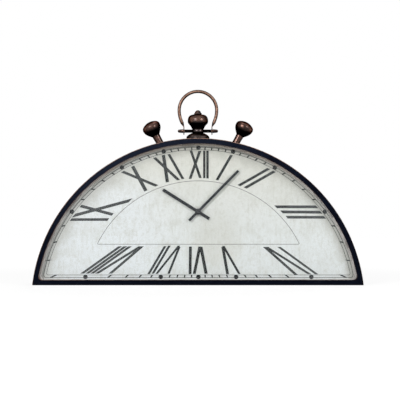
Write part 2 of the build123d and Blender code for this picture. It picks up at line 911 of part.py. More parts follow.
def movement_cover():
    """Closes the gear chamber and leaves the battery bay open."""
    bottom = bay_top + bay_partition / 2
    cover = rounded_box(chamber_back_y, movement_back_y)
    cover &= plate(-case_width, case_width, bottom, case_height, chamber_back_y, movement_back_y)
    cover -= disc(set_place, set_arbor_radius + running_gap, chamber_back_y, movement_back_y)
    for place in (hand_axis, third_place, intermediate_place, rotor_place):
        cover -= disc(place, pivot_hole_radius, chamber_back_y, chamber_back_y + pivot_hole_depth)
    return cover


def movement_pad():
    return tube(hand_axis, pad_radius, bush_radius + pad_clearance, board_back_y, movement_front_y)


def hand_bush():
    """Brass bush: its flange seats inside the housing, its nose ends level with the dial."""
    bush = disc(hand_axis, bush_radius, dial_front_y, chamber_front_y)
    bush += disc(hand_axis, bush_flange_radius, chamber_front_y, chamber_front_y + bush_flange_thickness)
    bore = hour_pipe_outer_radius + running_gap
    return bush - disc(hand_axis, bore, dial_front_y, chamber_front_y + bush_flange_thickness)


def stator():
    half = stator_length / 2
    middle = rotor_place[0]
    body = plate(middle - half, middle + half, stator_top - stator_height, stator_top,
                 stator_front_y, stator_back_y)
    for side in (-1, 1):
        lug = middle + side * stator_lug_x()
        body += plate(lug - stator_lug_width / 2, lug + stator_lug_width / 2, stator_top,
                      stator_top + stator_lug_height, stator_front_y, stator_back_y)
    return body - disc(rotor_place, stator_hole_radius, stator_front_y, stator_back_y)


def coil_core():
    """Lies across the front of the two stator lugs."""
    half = stator_length / 2
    return plate(rotor_place[0] - half, rotor_place[0] + half, core_z - core_height / 2,
                 core_z + core_height / 2, stator_front_y - stator_thickness, stator_front_y)


def coil_rod(radius, length):
    """A round along X about the coil core."""
    return Pos(rotor_place[0], core_y, core_z) * Rot(0, 90, 0) * Cylinder(radius, length)


def coil_bobbin():
    body = coil_rod(coil_tube_radius, coil_length)
    flange_place = (coil_length - coil_flange_thickness) / 2
    for side in (-1, 1):
        body += Pos(side * flange_place, 0, 0) * coil_rod(coil_radius, coil_flange_thickness)
    slot_depth = stator_thickness + coil_slot_clearance * 2
    slot_height = core_height + coil_slot_clearance * 2
    return body - Pos(rotor_place[0], core_y, core_z) * Box(coil_length, slot_depth, slot_height)


def coil_winding():
    length = coil_length - coil_flange_thickness * 2
    return coil_rod(coil_wire_radius, length) - coil_rod(coil_tube_radius + push_fit, length)


def circuit_front_y():
    return stator_back_y - board_thickness


def circuit_board():
    left = board_middle_x - board_width / 2
    bottom = hand_axis_height - board_height / 2
    return plate(left, left + board_width, bottom, bottom + board_height,
                 circuit_front_y(), circuit_front_y() + board_thickness)


def quartz_crystal():
    can = Cylinder(crystal_radius, crystal_length)
    return Pos(board_middle_x, stator_back_y + crystal_radius, hand_axis_height) * can


def cell_place():
    """The cell lies along X in its bay, level with the back of the housing."""
    return Pos(0, movement_front_y + bay_floor + screw_clearance + cell_radius, (bay_bottom + bay_top) / 2)


def battery_cell():
    body_length = cell_length - cell_nub_length
    body = Pos(0, 0, -cell_nub_length / 2) * Cylinder(cell_radius, body_length)
    nub = Pos(0, 0, (cell_length - cell_nub_length) / 2) * Cylinder(cell_nub_radius, cell_nub_length)
    return cell_place() * Rot(0, 90, 0) * (body + nub)


def cell_contact(side):
    """A spring leaf on the end wall of the bay with a pressed boss towards the cell."""
    leaf_x = chamber_half_width - contact_thickness
    leaf = Box(contact_thickness, contact_height, contact_height)
    boss = Rot(0, 90, 0) * Cylinder(contact_boss_radius, contact_boss_depth)
    leaf = Pos(side * (leaf_x + contact_thickness / 2), 0, 0) * leaf
    return cell_place() * (leaf + Pos(side * (leaf_x - contact_boss_depth / 2), 0, 0) * boss)


# Hands

def hand(reach, tail, width, hub, bore, angle, back_y):
    """A straight baton hand with a round hub, turned clockwise from twelve."""
    blade = Pos(0, (reach - tail) / 2) * Rectangle(width, reach + tail)
    face = blade + Circle(hub) - Circle(bore)
    return slab(Pos(*hand_axis) * Rot(0, 0, -angle) * face, back_y - hand_thickness, back_y)


def hour_hand():
    return hand(hour_hand_reach, hour_hand_tail, hour_hand_width, hour_hub_radius,
                hour_pipe_outer_radius + push_fit, hour_hand_angle, hour_hand_back_y)


def minute_hand():
    return hand(minute_hand_reach, minute_hand_tail, minute_hand_width, minute_hub_radius,
                minute_tip_radius + push_fit, minute_hand_angle, minute_hand_back_y)


def cap_nut():
    """The round cap that holds the minute hand."""
    nut = turned(cap_nut_shares, cap_nut_radius, cap_nut_height, True)
    depth = cap_nut_height / 2 + push_fit
    nut -= Pos(0, 0, depth / 2) * Cylinder(minute_tip_radius + push_fit, depth)
    return Pos(0, minute_hand_back_y - hand_thickness, hand_axis_height) * Rot(90, 0, 0) * nut


pieces = {
    "arch_band": arch_band(),
    "base_panel": base_panel(),
    "front_rim": front_rim(),
    "glass_gasket": glass_gasket(),
    "glass_lens": glass_lens(),
    "dial_spacer": dial_spacer(),
    "dial_sheet": dial_layer(dial_front_y, board_front_y),
    "dial_board": dial_board(),
    "dial_brackets": brackets(board_back_y, 1, screw_radius + screw_hole_clearance),
    "dial_screws": dial_screws(),
    "rear_panel": rear_panel(),
    "rear_brackets": brackets(panel_front_y, -1, screw_radius + screw_clearance),
    "rear_screws": rear_screws(),
    "crown_base": crown_base(),
    "crown_collar": crown_collar(),
    "crown_onion": crown_onion(),
    "crown_button": crown_button(),
    "cross_pin": cross_pin(),
    "pin_caps": pin_caps(),
    "bail": bail(),
    "pusher_left": pusher(-1),
    "pusher_right": pusher(1),
    "arch_bolts": group(arch_bolt(angle) for angle in bolt_angles),
    "arch_washers": group(arch_washer(angle) for angle in bolt_angles),
    "movement_case": movement_case(),
    "movement_cover": movement_cover(),
    "movement_pad": movement_pad(),
    "movement_screws": movement_screws(),
    "hand_bush": hand_bush(),
    "rotor": rotor(),
    "intermediate_wheel": intermediate_wheel(),
    "seconds_wheel": seconds_wheel(),
    "third_wheel": third_wheel(),
    "centre_wheel": centre_wheel(),
    "minute_arbor": minute_arbor(),
    "hour_wheel": hour_wheel(),
    "minute_wheel": minute_wheel(),
    "set_knob": set_knob(),
    "stator": stator(),
    "coil_core": coil_core(),
    "coil_bobbin": coil_bobbin(),
    "coil_winding": coil_winding(),
    "circuit_board": circuit_board(),
    "quartz_crystal": quartz_crystal(),
    "battery_cell": battery_cell(),
    "contact_left": cell_contact(-1),
    "contact_right": cell_contact(1),
    "hour_hand": hour_hand(),
    "minute_hand": minute_hand(),
    "cap_nut": cap_nut(),
}

os.makedirs("parts", exist_ok=True)
for name, piece in pieces.items():
    export_step(piece, f"parts/{name}.step")
    print(name, len(piece.solids()), round(piece.volume, 1))
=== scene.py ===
import json
import math
import bpy
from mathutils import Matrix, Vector


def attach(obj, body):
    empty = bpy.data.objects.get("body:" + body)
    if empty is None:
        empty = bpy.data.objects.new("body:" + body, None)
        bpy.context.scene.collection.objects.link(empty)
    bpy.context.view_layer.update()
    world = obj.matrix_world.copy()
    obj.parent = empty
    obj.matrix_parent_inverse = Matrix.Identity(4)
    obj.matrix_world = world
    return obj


print("table clock: loading the packed model")
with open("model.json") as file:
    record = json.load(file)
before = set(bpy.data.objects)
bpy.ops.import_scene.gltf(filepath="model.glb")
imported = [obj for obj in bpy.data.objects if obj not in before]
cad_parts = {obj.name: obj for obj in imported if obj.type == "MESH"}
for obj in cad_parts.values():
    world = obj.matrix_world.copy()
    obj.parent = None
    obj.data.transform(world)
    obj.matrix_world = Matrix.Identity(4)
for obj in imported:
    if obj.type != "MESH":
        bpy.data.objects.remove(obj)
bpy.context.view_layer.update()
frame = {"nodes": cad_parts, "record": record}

mm = 0.001                      # the frame is in metres, the dial's print is given in millimetres
origin = (0.0, 0.0, 0.0)
allWays = (1.0, 1.0, 1.0)
dialPlane = (1.0, 0.0, 1.0)     # keeps x and height, so that a reach is measured on the dial
upward = (0.0, 0.0, 1.0)
backward = (0.0, 1.0, 0.0)
leftward = (-1.0, 0.0, 0.0)
rightward = (1.0, 0.0, 0.0)


print("table clock: camera")

camera = {
    "distance": 1.838,          # from the middle of the case to the lens
    "height": 0.110,            # level with the axis of the hands
    "tilt": 90.0,               # degrees up from straight down
    "lens": 108.4,
    "sensor": 36.0,
    "shift": (0.0052, 0.0292),
    "clip": (0.05, 30.0),
}


def addObject(name, data, place=origin):
    holder = bpy.data.objects.new(name, data)
    holder.location = place
    bpy.context.scene.collection.objects.link(holder)
    return holder


def setCamera(look):
    data = bpy.data.cameras.new("photoCamera")
    data.lens = look["lens"]
    data.sensor_width = look["sensor"]
    data.shift_x, data.shift_y = look["shift"]
    data.clip_start, data.clip_end = look["clip"]
    holder = addObject("photoCamera", data, (0.0, -look["distance"], look["height"]))
    holder.rotation_euler = (math.radians(look["tilt"]), 0.0, 0.0)
    bpy.context.scene.camera = holder


setCamera(camera)

cloudRange = (0.3, 0.7)         # nearly all of a cloud's values lie between these

# In the looks, clouds are marks per metre, detail, roughness and warp. A range is where it starts
# and ends, then what it gives there, which is 0 and 1 where nothing more is said. A relief is its
# depth in metres and its strength.


def vectorFigure(tree, operation, source, fixed=origin):
    node = tree.nodes.new("ShaderNodeVectorMath")
    node.operation = operation
    node.inputs[1].default_value = fixed
    tree.links.new(source, node.inputs[0])
    return node


def spotFrom(tree, foot):
    place = tree.nodes.new("ShaderNodeTexCoord")
    return vectorFigure(tree, "SUBTRACT", place.outputs["Object"], foot).outputs["Vector"]


def spotOf(tree, stretch=allWays):
    place = tree.nodes.new("ShaderNodeTexCoord")
    scaled = tree.nodes.new("ShaderNodeMapping")
    scaled.inputs["Scale"].default_value = stretch
    tree.links.new(place.outputs["Object"], scaled.inputs["Vector"])
    return scaled.outputs["Vector"]


def outwardOf(tree, direction):
    # 1 where the surface faces the direction, -1 where it faces away
    place = tree.nodes.new("ShaderNodeTexCoord")
    return vectorFigure(tree, "DOT_PRODUCT", place.outputs["Normal"], direction).outputs["Value"]


def alongOf(tree, foot, direction):
    # metres from the foot along the direction
    return vectorFigure(tree, "DOT_PRODUCT", spotFrom(tree, foot), direction).outputs["Value"]


def reachOf(tree, centre, stretch):
    # metres from the centre, in the plane or space that stretch keeps
    kept = vectorFigure(tree, "MULTIPLY", spotFrom(tree, centre), stretch)
    return vectorFigure(tree, "LENGTH", kept.outputs["Vector"]).outputs["Value"]


def clouds(tree, spot, perMetre, detail, roughness=0.55, warp=0.0):
    node = tree.nodes.new("ShaderNodeTexNoise")
    node.inputs["Scale"].default_value = perMetre
    node.inputs["Detail"].default_value = detail
    node.inputs["Roughness"].default_value = roughness
    node.inputs["Distortion"].default_value = warp
    tree.links.new(spot, node.inputs["Vector"])
    return node.outputs[0]


def spread(tree, source, low, high, toLow=0.0, toHigh=1.0, way="SMOOTHSTEP"):
    node = tree.nodes.new("ShaderNodeMapRange")
    node.interpolation_type = way
    for socket, value in zip(node.inputs[1:5], (low, high, toLow, toHigh)):
        socket.default_value = value
    tree.links.new(source, node.inputs[0])
    return node.outputs[0]


def figure(tree, operation, first, second):
    # held between 0 and 1, apart from a difference, which may be negative
    node = tree.nodes.new("ShaderNodeMath")
    node.operation = operation
    node.use_clamp = operation != "SUBTRACT"
    for socket, value in zip(node.inputs, (first, second)):
        if isinstance(value, float):
            socket.default_value = value
        else:
            tree.links.new(value, socket)
    return node.outputs[0]


def blendTones(tree, amount, first, second, way="MIX"):
    node = tree.nodes.new("ShaderNodeMix")
    node.data_type = "RGBA"
    node.blend_type = way
    sockets = (node.inputs[0], node.inputs[6], node.inputs[7])      # the amount and two colours
    for socket, value in zip(sockets, (amount, first, second)):
        if isinstance(value, float):
            socket.default_value = value
        elif isinstance(value, tuple):
            socket.default_value = value + (1.0,)
        else:
            tree.links.new(value, socket)
    return node.outputs[2]


def bands(tree, source, stops):
    node = tree.nodes.new("ShaderNodeValToRGB")
    marks = node.color_ramp.elements
    while len(marks) < len(stops):
        marks.new(0.5)
    for mark, (place, tone) in zip(marks, stops):
        mark.position = place
        mark.color = (tone, tone, tone, 1.0)
    tree.links.new(source, node.inputs[0])
    return node.outputs[0]


def relief(tree, shader, height, depth, strength):
    node = tree.nodes.new("ShaderNodeBump")
    node.inputs["Strength"].default_value = strength
    node.inputs["Distance"].default_value = depth
    tree.links.new(height, node.inputs["Height"])
    tree.links.new(node.outputs["Normal"], shader.inputs["Normal"])


def paint(tree, shader, tone, roughness):
    tree.links.new(tone, shader.inputs["Base Color"])
    tree.links.new(roughness, shader.inputs["Roughness"])


print("table clock: studio")

studio = {
    "white": (1.0, 1.0, 1.0, 1.0),
    "roomFill": 0.29,           # what the room gives to matt surfaces
    "roomSeen": 1.0,            # white to the lens, in mirrors and through glass
    "lamps": (                  # name, place, width, watts
        ("keyLamp", (-1.10, -1.92, 0.98), 1.0, 28.0),
        ("keyGlint", (-1.08, -1.88, 0.96), 0.22, 5.0),      # gives the copper its highlights
        ("sideLamp", (1.50, -1.58, 0.90), 0.76, 15.0),
        ("sideGlint", (1.47, -1.55, 0.88), 0.18, 3.2),
        ("backLamp", (0.5, 1.9, 1.6), 1.2, 18.0),
    ),
    "aim": (0.0, 0.0, 0.12),
    "floorSize": 6.0,
    "floorPlace": (0.0, 0.0, -0.0002),
    "floorTone": (0.94, 0.94, 0.94, 1.0),
    "floorSeen": 1.07,
    "floorShadow": 0.22,        # how much of the floor's shadow is kept near the clock
    "shadowReach": (0.45, 1.3),
}


def seenRays(tree):
    # 1 for what the lens sees, straight, in a mirror or through glass
    rays = tree.nodes.new("ShaderNodeLightPath").outputs
    mirrored = figure(tree, "MAXIMUM", rays["Is Camera Ray"], rays["Is Glossy Ray"])
    return figure(tree, "MAXIMUM", mirrored, rays["Is Transmission Ray"])


def chooseShader(tree, amount, first, second, result):
    choice = tree.nodes.new("ShaderNodeMixShader")
    for socket, source in zip(choice.inputs, (amount, first.outputs[0], second.outputs[0])):
        tree.links.new(source, socket)
    tree.links.new(choice.outputs[0], tree.nodes.new(result).inputs["Surface"])


def buildRoom(look):
    world = bpy.data.worlds.new("whiteRoom")
    bpy.context.scene.world = world
    world.use_nodes = True
    tree = world.node_tree
    tree.nodes.clear()
    fill = tree.nodes.new("ShaderNodeBackground")
    seen = tree.nodes.new("ShaderNodeBackground")
    for light, strength in ((fill, look["roomFill"]), (seen, look["roomSeen"])):
        light.inputs["Color"].default_value = look["white"]
        light.inputs["Strength"].default_value = strength
    chooseShader(tree, seenRays(tree), fill, seen, "ShaderNodeOutputWorld")


def hangLamps(look):
    for name, place, width, watts in look["lamps"]:
        lamp = bpy.data.lights.new(name, "AREA")
        lamp.shape = "DISK"
        lamp.size = width
        lamp.energy = watts
        aim = Vector(look["aim"]) - Vector(place)
        addObject(name, lamp, place).rotation_euler = aim.to_track_quat("-Z", "Y").to_euler()


def layFloor(look):
    half = look["floorSize"] / 2
    corners = [(-half, -half, 0), (half, -half, 0), (half, half, 0), (-half, half, 0)]
    sheet = bpy.data.meshes.new("studioFloor")
    sheet.from_pydata(corners, [], [(0, 1, 2, 3)])
    floor = addObject("studioFloor", sheet, look["floorPlace"])
    cover = bpy.data.materials.new("floorPaper")
    cover.use_nodes = True
    tree = cover.node_tree
    tree.nodes.clear()
    matt = tree.nodes.new("ShaderNodeBsdfDiffuse")
    matt.inputs["Color"].default_value = look["floorTone"]
    bright = tree.nodes.new("ShaderNodeEmission")
    bright.inputs["Color"].default_value = look["white"]
    bright.inputs["Strength"].default_value = look["floorSeen"]
    far = reachOf(tree, origin, allWays)
    fade = spread(tree, far, *look["shadowReach"], 1.0 - look["floorShadow"], 1.0, way="LINEAR")
    share = figure(tree, "MULTIPLY", seenRays(tree), fade)
    chooseShader(tree, share, matt, bright, "ShaderNodeOutputMaterial")
    sheet.materials.append(cover)


buildRoom(studio)
hangLamps(studio)
layFloor(studio)
bpy.context.scene.view_settings.view_transform = "Standard"

print("table clock: finishes")


def startFinish(name, metal=0.0, gloss=0.5):
    finish = bpy.data.materials.new(name)
    finish.use_nodes = True
    shader = finish.node_tree.nodes["Principled BSDF"]
    shader.inputs["Metallic"].default_value = metal
    shader.inputs["Specular IOR Level"].default_value = gloss
    return finish, finish.node_tree, shader


caseEnamelLook = {
    "deep": (0.0006, 0.0010, 0.0030),
    "sheen": (0.0036, 0.0054, 0.0118),
    "paintedLitTone": (0.0086, 0.0116, 0.0205),
    "scuff": (0.030, 0.036, 0.052),
    "copperWearAndGlint": (0.36, 0.225, 0.170),
    "gloss": 0.05,
    "glossTint": (0.50, 0.58, 0.92, 1.0),
    "roughness": (0.34, 0.52),
    "relief": (0.00006, 0.35),
    "cloud": (38.0, 5.0, 0.6),
    "grain": (900.0, 3.0, 0.5),
    "chips": (210.0, 5.0, 0.65, 0.4),
    "scuffs": (330.0, 4.0, 0.62, 0.3),
    "scuffStretch": (1.0, 0.14, 1.0),       # scuffs run from front to back
    "sheenRange": (0.35, 0.68),
    "lowShadeRange": (0.0, 0.19, 0.75, 0.0),    # painted shade: deeper towards the floor
    "paintedLitRange": (0.14, 0.25, 0.0, 0.8),
    "chipRange": (0.34, 0.52),
    "scuffRange": (0.61, 0.73, 0.0, 0.5),
    "litSide": (-0.35, 0.0, 1.0),          # the upper left, where the lamps fall: painted light there, and the worn copper edge brightest as a painted highlight
    "archCentre": (0.0, 0.0, -0.02978),
    "outerEdge": 0.24978,
    "outerInset": (0.0010, 0.0004),         # the copper edge line, part wear and part painted highlight, starts and is full this far inside the edge
    "outerWearAndGlint": (0.02, 0.21, 0.2, 1.0),
    "windowEdge": 0.24178,
    "windowBase": 0.008,
    "windowCorner": 0.006,
    "windowOutside": (0.0008, 0.0002),      # wear outside and inside the window's edge
    "windowInside": (-0.0012, -0.0004),
    "windowWear": (0.02, 0.22, 0.10, 0.42),
    "front": (0.0, -0.038, 0.0),
    "frontRange": (0.0022, 0.0012),
    "back": (0.0, 0.038, 0.0),
    "backRange": (-0.0016, -0.0006, 0.0, 0.6),
}


def beyondWindow(tree, look, reach, height):
    # metres from the rounded edge of the window, outwards
    corner = look["windowCorner"]
    across = figure(tree, "SUBTRACT", reach, look["windowEdge"] - corner)
    below = figure(tree, "SUBTRACT", look["windowBase"] + corner, height)
    squares = []
    for past in (across, below):
        past = figure(tree, "MAXIMUM", past, 0.0)
        squares.append(figure(tree, "MULTIPLY", past, past))
    away = figure(tree, "SQRT", figure(tree, "ADD", *squares), 0.0)
    return figure(tree, "SUBTRACT", away, corner)


def makeCaseEnamel(look):
    finish, tree, shader = startFinish("caseEnamel", gloss=look["gloss"])
    shader.inputs["Specular Tint"].default_value = look["glossTint"]
    spot = spotOf(tree)
    height = alongOf(tree, origin, upward)
    upLeft = alongOf(tree, origin, look["litSide"])
    cloud = clouds(tree, spot, *look["cloud"])
    grain = clouds(tree, spot, *look["grain"])
    tone = blendTones(tree, spread(tree, cloud, *look["sheenRange"]), look["deep"], look["sheen"])
    # painted shade: the enamel darkens towards the floor
    tone = blendTones(tree, spread(tree, height, *look["lowShadeRange"]), tone, look["deep"])
    # painted light: the upper left is lighter, where the lamps fall
    tone = blendTones(tree, spread(tree, upLeft, *look["paintedLitRange"]), tone, look["paintedLitTone"])
    front = spread(tree, alongOf(tree, look["front"], backward), *look["frontRange"])
    behind = spread(tree, alongOf(tree, look["back"], backward), *look["backRange"])
    reach = reachOf(tree, look["archCentre"], dialPlane)
    outer = spread(tree, reach, *(look["outerEdge"] - inset for inset in look["outerInset"]))
    # painted highlight: the copper edge line grows stronger towards the lit upper left
    outer = figure(tree, "MULTIPLY", outer, spread(tree, upLeft, *look["outerWearAndGlint"]))
    outer = figure(tree, "MULTIPLY", outer, figure(tree, "MAXIMUM", front, behind))
    away = beyondWindow(tree, look, reach, height)
    inner = figure(tree, "MULTIPLY", spread(tree, away, *look["windowOutside"]),
                   spread(tree, away, *look["windowInside"]))
    toLeft = alongOf(tree, origin, leftward)
    inner = figure(tree, "MULTIPLY", inner, spread(tree, toLeft, *look["windowWear"]))
    inner = figure(tree, "MULTIPLY", inner, front)
    chips = spread(tree, clouds(tree, spot, *look["chips"]), *look["chipRange"])
    # copper showing through: worn edges and chips, the outer line partly a painted highlight
    wornAndGlinting = figure(tree, "MULTIPLY", figure(tree, "MAXIMUM", outer, inner), chips)
    scuffs = clouds(tree, spotOf(tree, look["scuffStretch"]), *look["scuffs"])
    tone = blendTones(tree, spread(tree, scuffs, *look["scuffRange"]), tone, look["scuff"])
    tone = blendTones(tree, wornAndGlinting, tone, look["copperWearAndGlint"])
    paint(tree, shader, tone, spread(tree, grain, *cloudRange, *look["roughness"]))
    relief(tree, shader, grain, *look["relief"])
    return finish


paneLook = {
    "tint": (0.42, 0.46, 0.48, 1.0),
    "seen": 0.020,              # how much of each face is mirror, the rest is clear
    "smears": (26.0, 4.0, 0.6, 0.6),
    "smearStretch": (1.0, 1.0, 3.0),
    "smearRange": (0.45, 0.75, 0.02, 0.10),
    "waves": (9.0, 1.0),
    "relief": (0.0004, 0.05),
}


def makePaneGlass(look):
    finish, tree, shader = startFinish("paneGlass", metal=1.0)
    shader.inputs["Base Color"].default_value = look["tint"]
    shader.inputs["Alpha"].default_value = look["seen"]
    smears = clouds(tree, spotOf(tree, look["smearStretch"]), *look["smears"])
    tree.links.new(spread(tree, smears, *look["smearRange"]), shader.inputs["Roughness"])
    relief(tree, shader, clouds(tree, spotOf(tree), *look["waves"]), *look["relief"])
    return finish


dialPaperLook = {
    "low": (0.670, 0.706, 0.706),
    "high": (0.610, 0.616, 0.569),
    "cool": (0.700, 0.740, 0.765),
    "warm": (0.590, 0.606, 0.572),
    "stain": (0.47, 0.475, 0.42),
    "fibre": (0.50, 0.50, 0.47),
    # edge: the tone of the painted shade along the arch
    "edge": (0.49, 0.495, 0.46),
    "shade": (0.255, 0.255, 0.215),
    "gloss": 0.25,
    "roughness": (0.55, 0.72),
    "relief": (0.00005, 0.5),
    "highRange": (0.04, 0.20),
    "coolLeft": (0.02, 0.11, 0.0, 0.65),
    "coolBelow": (0.18, 0.13),
    "blots": (42.0, 6.0, 0.62, 0.5),
    "blotRange": (0.44, 0.72, 0.0, 0.36),
    "warmMiddle": (0.027, 0.0, 0.070),      # middle of a faint warmer, darker patch below and right of the hands
    "warmSquash": (1.0, 0.0, 0.8),
    "warmRagged": (-0.012, 0.012),
    "warmRange": (0.014, 0.055, 0.95, 0.0),
    "marks": (                              # stretch, clouds and range: streaks, flecks, weft
        ((1.0, 1.0, 0.16), (260.0, 4.0, 0.6), (0.50, 0.72, 0.0, 0.30)),
        ((1.0, 1.0, 0.6), (330.0, 4.0, 0.62), (0.48, 0.68, 0.0, 0.34)),
        ((0.35, 1.0, 1.0), (420.0, 4.0, 0.62), (0.50, 0.70, 0.0, 0.24)),
    ),
    "fibres": (1500.0, 3.0, 0.6),
    "fibreRange": (0.45, 0.75, 0.0, 0.12),
    "archCentre": (0.0, 0.0, -0.02978),
    "archReach": 0.2392,
    "waves": (65.0, 4.0, 0.6),              # they make the inner edge of the painted shade along the arch uneven
    "waveRange": (0.0, 0.006),
    "archShadeRange": (0.0, 0.017, 0.9, 0.0),
    "coolEdge": (0.0, 0.014, 0.4, 0.0),
    "crest": (0.0, 0.0, 0.235),             # the painted shade along the arch is darkest below the crown
    "crestRange": (0.03, 0.14, 0.57, 0.12),
    "shadeRange": (-0.002, 0.021, 1.0, 0.0),
    "shoulders": (                          # middle and range of the wider painted shade on the arch's shoulders
        ((0.150, 0.0, 0.160), (0.02, 0.11, 0.18, 0.0)),
        ((-0.150, 0.0, 0.160), (0.02, 0.10, 0.20, 0.0)),
        ((-0.214, 0.0, 0.062), (0.02, 0.08, 0.20, 0.0)),
    ),
    "shoulderRange": (0.004, 0.034, 1.0, 0.0),
}


def makeDialPaper(look):
    finish, tree, shader = startFinish("agedDialPaper", gloss=look["gloss"])
    spot = spotOf(tree)
    height = alongOf(tree, origin, upward)
    tone = blendTones(tree, spread(tree, height, *look["highRange"]), look["low"], look["high"])
    toLeft = spread(tree, alongOf(tree, origin, leftward), *look["coolLeft"])
    cooled = figure(tree, "MULTIPLY", toLeft, spread(tree, height, *look["coolBelow"]))
    tone = blendTones(tree, cooled, tone, look["cool"])
    blots = clouds(tree, spot, *look["blots"])
    ragged = figure(tree, "ADD", reachOf(tree, look["warmMiddle"], look["warmSquash"]),
                    spread(tree, blots, *cloudRange, *look["warmRagged"]))
    tone = blendTones(tree, spread(tree, ragged, *look["warmRange"]), tone, look["warm"])
    tone = blendTones(tree, spread(tree, blots, *look["blotRange"]), tone, look["stain"])
    for stretch, form, shown in look["marks"]:
        marks = clouds(tree, spotOf(tree, stretch), *form)
        tone = blendTones(tree, spread(tree, marks, *shown), tone, look["stain"])
    fibres = clouds(tree, spot, *look["fibres"])
    tone = blendTones(tree, spread(tree, fibres, *look["fibreRange"]), tone, look["fibre"])
    # metres inside the arch, unevenly
    reach = reachOf(tree, look["archCentre"], dialPlane)
    inside = figure(tree, "SUBTRACT", look["archReach"], reach)
    waves = clouds(tree, spot, *look["waves"])
    inside = figure(tree, "SUBTRACT", inside, spread(tree, waves, *cloudRange, *look["waveRange"]))
    # painted shade: the dial darkens along the arch, where the rim would shade it
    tone = blendTones(tree, spread(tree, inside, *look["archShadeRange"]), tone, look["edge"])
    # the painted shade along the arch is lifted and cooled on the left
    coolEdge = figure(tree, "MULTIPLY", toLeft, spread(tree, inside, *look["coolEdge"]))
    tone = blendTones(tree, coolEdge, tone, look["cool"])
    # painted shade: darkest below the crown
    crest = spread(tree, reachOf(tree, look["crest"], dialPlane), *look["crestRange"])
    shade = figure(tree, "MULTIPLY", spread(tree, inside, *look["shadeRange"]), crest)
    tone = blendTones(tree, shade, tone, look["shade"])
    # painted shade: wider on the shoulders of the arch
    shoulder = 0.0
    for middle, near in look["shoulders"]:
        reach = reachOf(tree, middle, dialPlane)
        shoulder = figure(tree, "MAXIMUM", shoulder, spread(tree, reach, *near))
    shade = figure(tree, "MULTIPLY", spread(tree, inside, *look["shoulderRange"]), shoulder)
    tone = blendTones(tree, shade, tone, look["shade"])
    paint(tree, shader, tone, spread(tree, blots, *cloudRange, *look["roughness"]))
    relief(tree, shader, fibres, *look["relief"])
    return finish


inkLook = {
    "dense": (0.0095, 0.0105, 0.0100),
    "thin": (0.080, 0.086, 0.087),
    "gloss": 0.15,
    "roughness": (0.45, 0.65),
    "relief": (0.00002, 0.4),
    "grain": (1800.0, 2.0),
    "wear": (300.0, 5.0, 0.6),
    "wearRange": (0.35, 0.7, 0.0, 0.36),
    "densest": (0.020, 0.0, 0.020),         # the print is blackest here and greyer outwards
    "fadeSquash": (1.0, 0.0, 0.35),
    "fadeReach": (0.02, 0.17),
    "fade": 0.62,
}
trackInkLook = dict(inkLook, fade=0.12)
dotInkLook = dict(inkLook, dense=(0.004, 0.0045, 0.004), thin=(0.062, 0.067, 0.068), fade=0.50)


def makeDialInk(name, look):
    finish, tree, shader = startFinish(name, gloss=look["gloss"])
    spot = spotOf(tree)
    wear = clouds(tree, spot, *look["wear"])
    reach = reachOf(tree, look["densest"], look["fadeSquash"])
    fade = spread(tree, reach, *look["fadeReach"], 0.0, look["fade"])
    amount = figure(tree, "ADD", fade, spread(tree, wear, *look["wearRange"]))
    paint(tree, shader, blendTones(tree, amount, look["dense"], look["thin"]),
          spread(tree, wear, *cloudRange, *look["roughness"]))
    relief(tree, shader, clouds(tree, spot, *look["grain"]), *look["relief"])
    return finish


handLacquerLook = {
    "base": (0.007, 0.009, 0.012),
    "dusty": (0.024, 0.026, 0.028),
    "gloss": 0.3,
    "roughness": (0.30, 0.46),
    "relief": (0.00002, 0.4),
    "grain": (1400.0, 2.0),
    "dust": (120.0, 5.0, 0.62),
    "dustRange": (0.42, 0.72),
}


def makeHandLacquer(look):
    finish, tree, shader = startFinish("handLacquer", gloss=look["gloss"])
    spot = spotOf(tree)
    dust = clouds(tree, spot, *look["dust"])
    tone = blendTones(tree, spread(tree, dust, *look["dustRange"]), look["base"], look["dusty"])
    paint(tree, shader, tone, spread(tree, dust, *cloudRange, *look["roughness"]))
    relief(tree, shader, clouds(tree, spot, *look["grain"]), *look["relief"])
    return finish


turnedCopper = {                # what the turned pieces share
    "edgeTint": (0.22, 0.20, 0.19, 1.0),
    "lean": 0.0,                            # degrees to the right
    "mottleForm": (5.0, 0.62, 0.3),         # detail, roughness and warp
    "middleRange": (0.36, 0.62),
    "brightRange": (0.52, 0.74, 0.0, 0.8),
    "underShadeRange": (-0.75, 0.10, 0.18, 1.0),     # undersides are darker: some patina, and painted shade for the dark case below them
    "stemSideShade": 0.0,                       # how dark the painted shade on the sides of a stem is
    "sideShadeRange": (0.72, 0.38),
    "stemRange": (0.42, 0.36),
    "pits": (900.0, 4.0, 0.6),
    "pitRange": (0.62, 0.74, 0.0, 0.55),
    "roughRange": (0.32, 0.70),
    "roughness": (0.40, 0.24),
    "lacquer": 0.5,
    "lacquerRange": (0.30, 0.80),
    "lacquerRoughness": 0.25,
    "relief": (0.00012, 0.35),
}
pusherCopper = {
    "length": 0.0374, "mottle": 190.0, "lacquer": 0.46, "stemSideShade": 0.85,
    "patinaAndShade": (0.018, 0.007, 0.004), "middle": (0.070, 0.029, 0.019),
    "bright": (0.20, 0.112, 0.088),
    # rings above 1 are painted highlights
    "lightAndShadeRings": ((0.0, 1.2), (0.28, 1.5), (0.36, 0.8), (0.42, 0.12), (0.57, 0.08), (0.70, 0.6),
              (0.80, 1.1), (0.88, 1.7), (0.93, 1.1), (1.0, 0.55)),
}
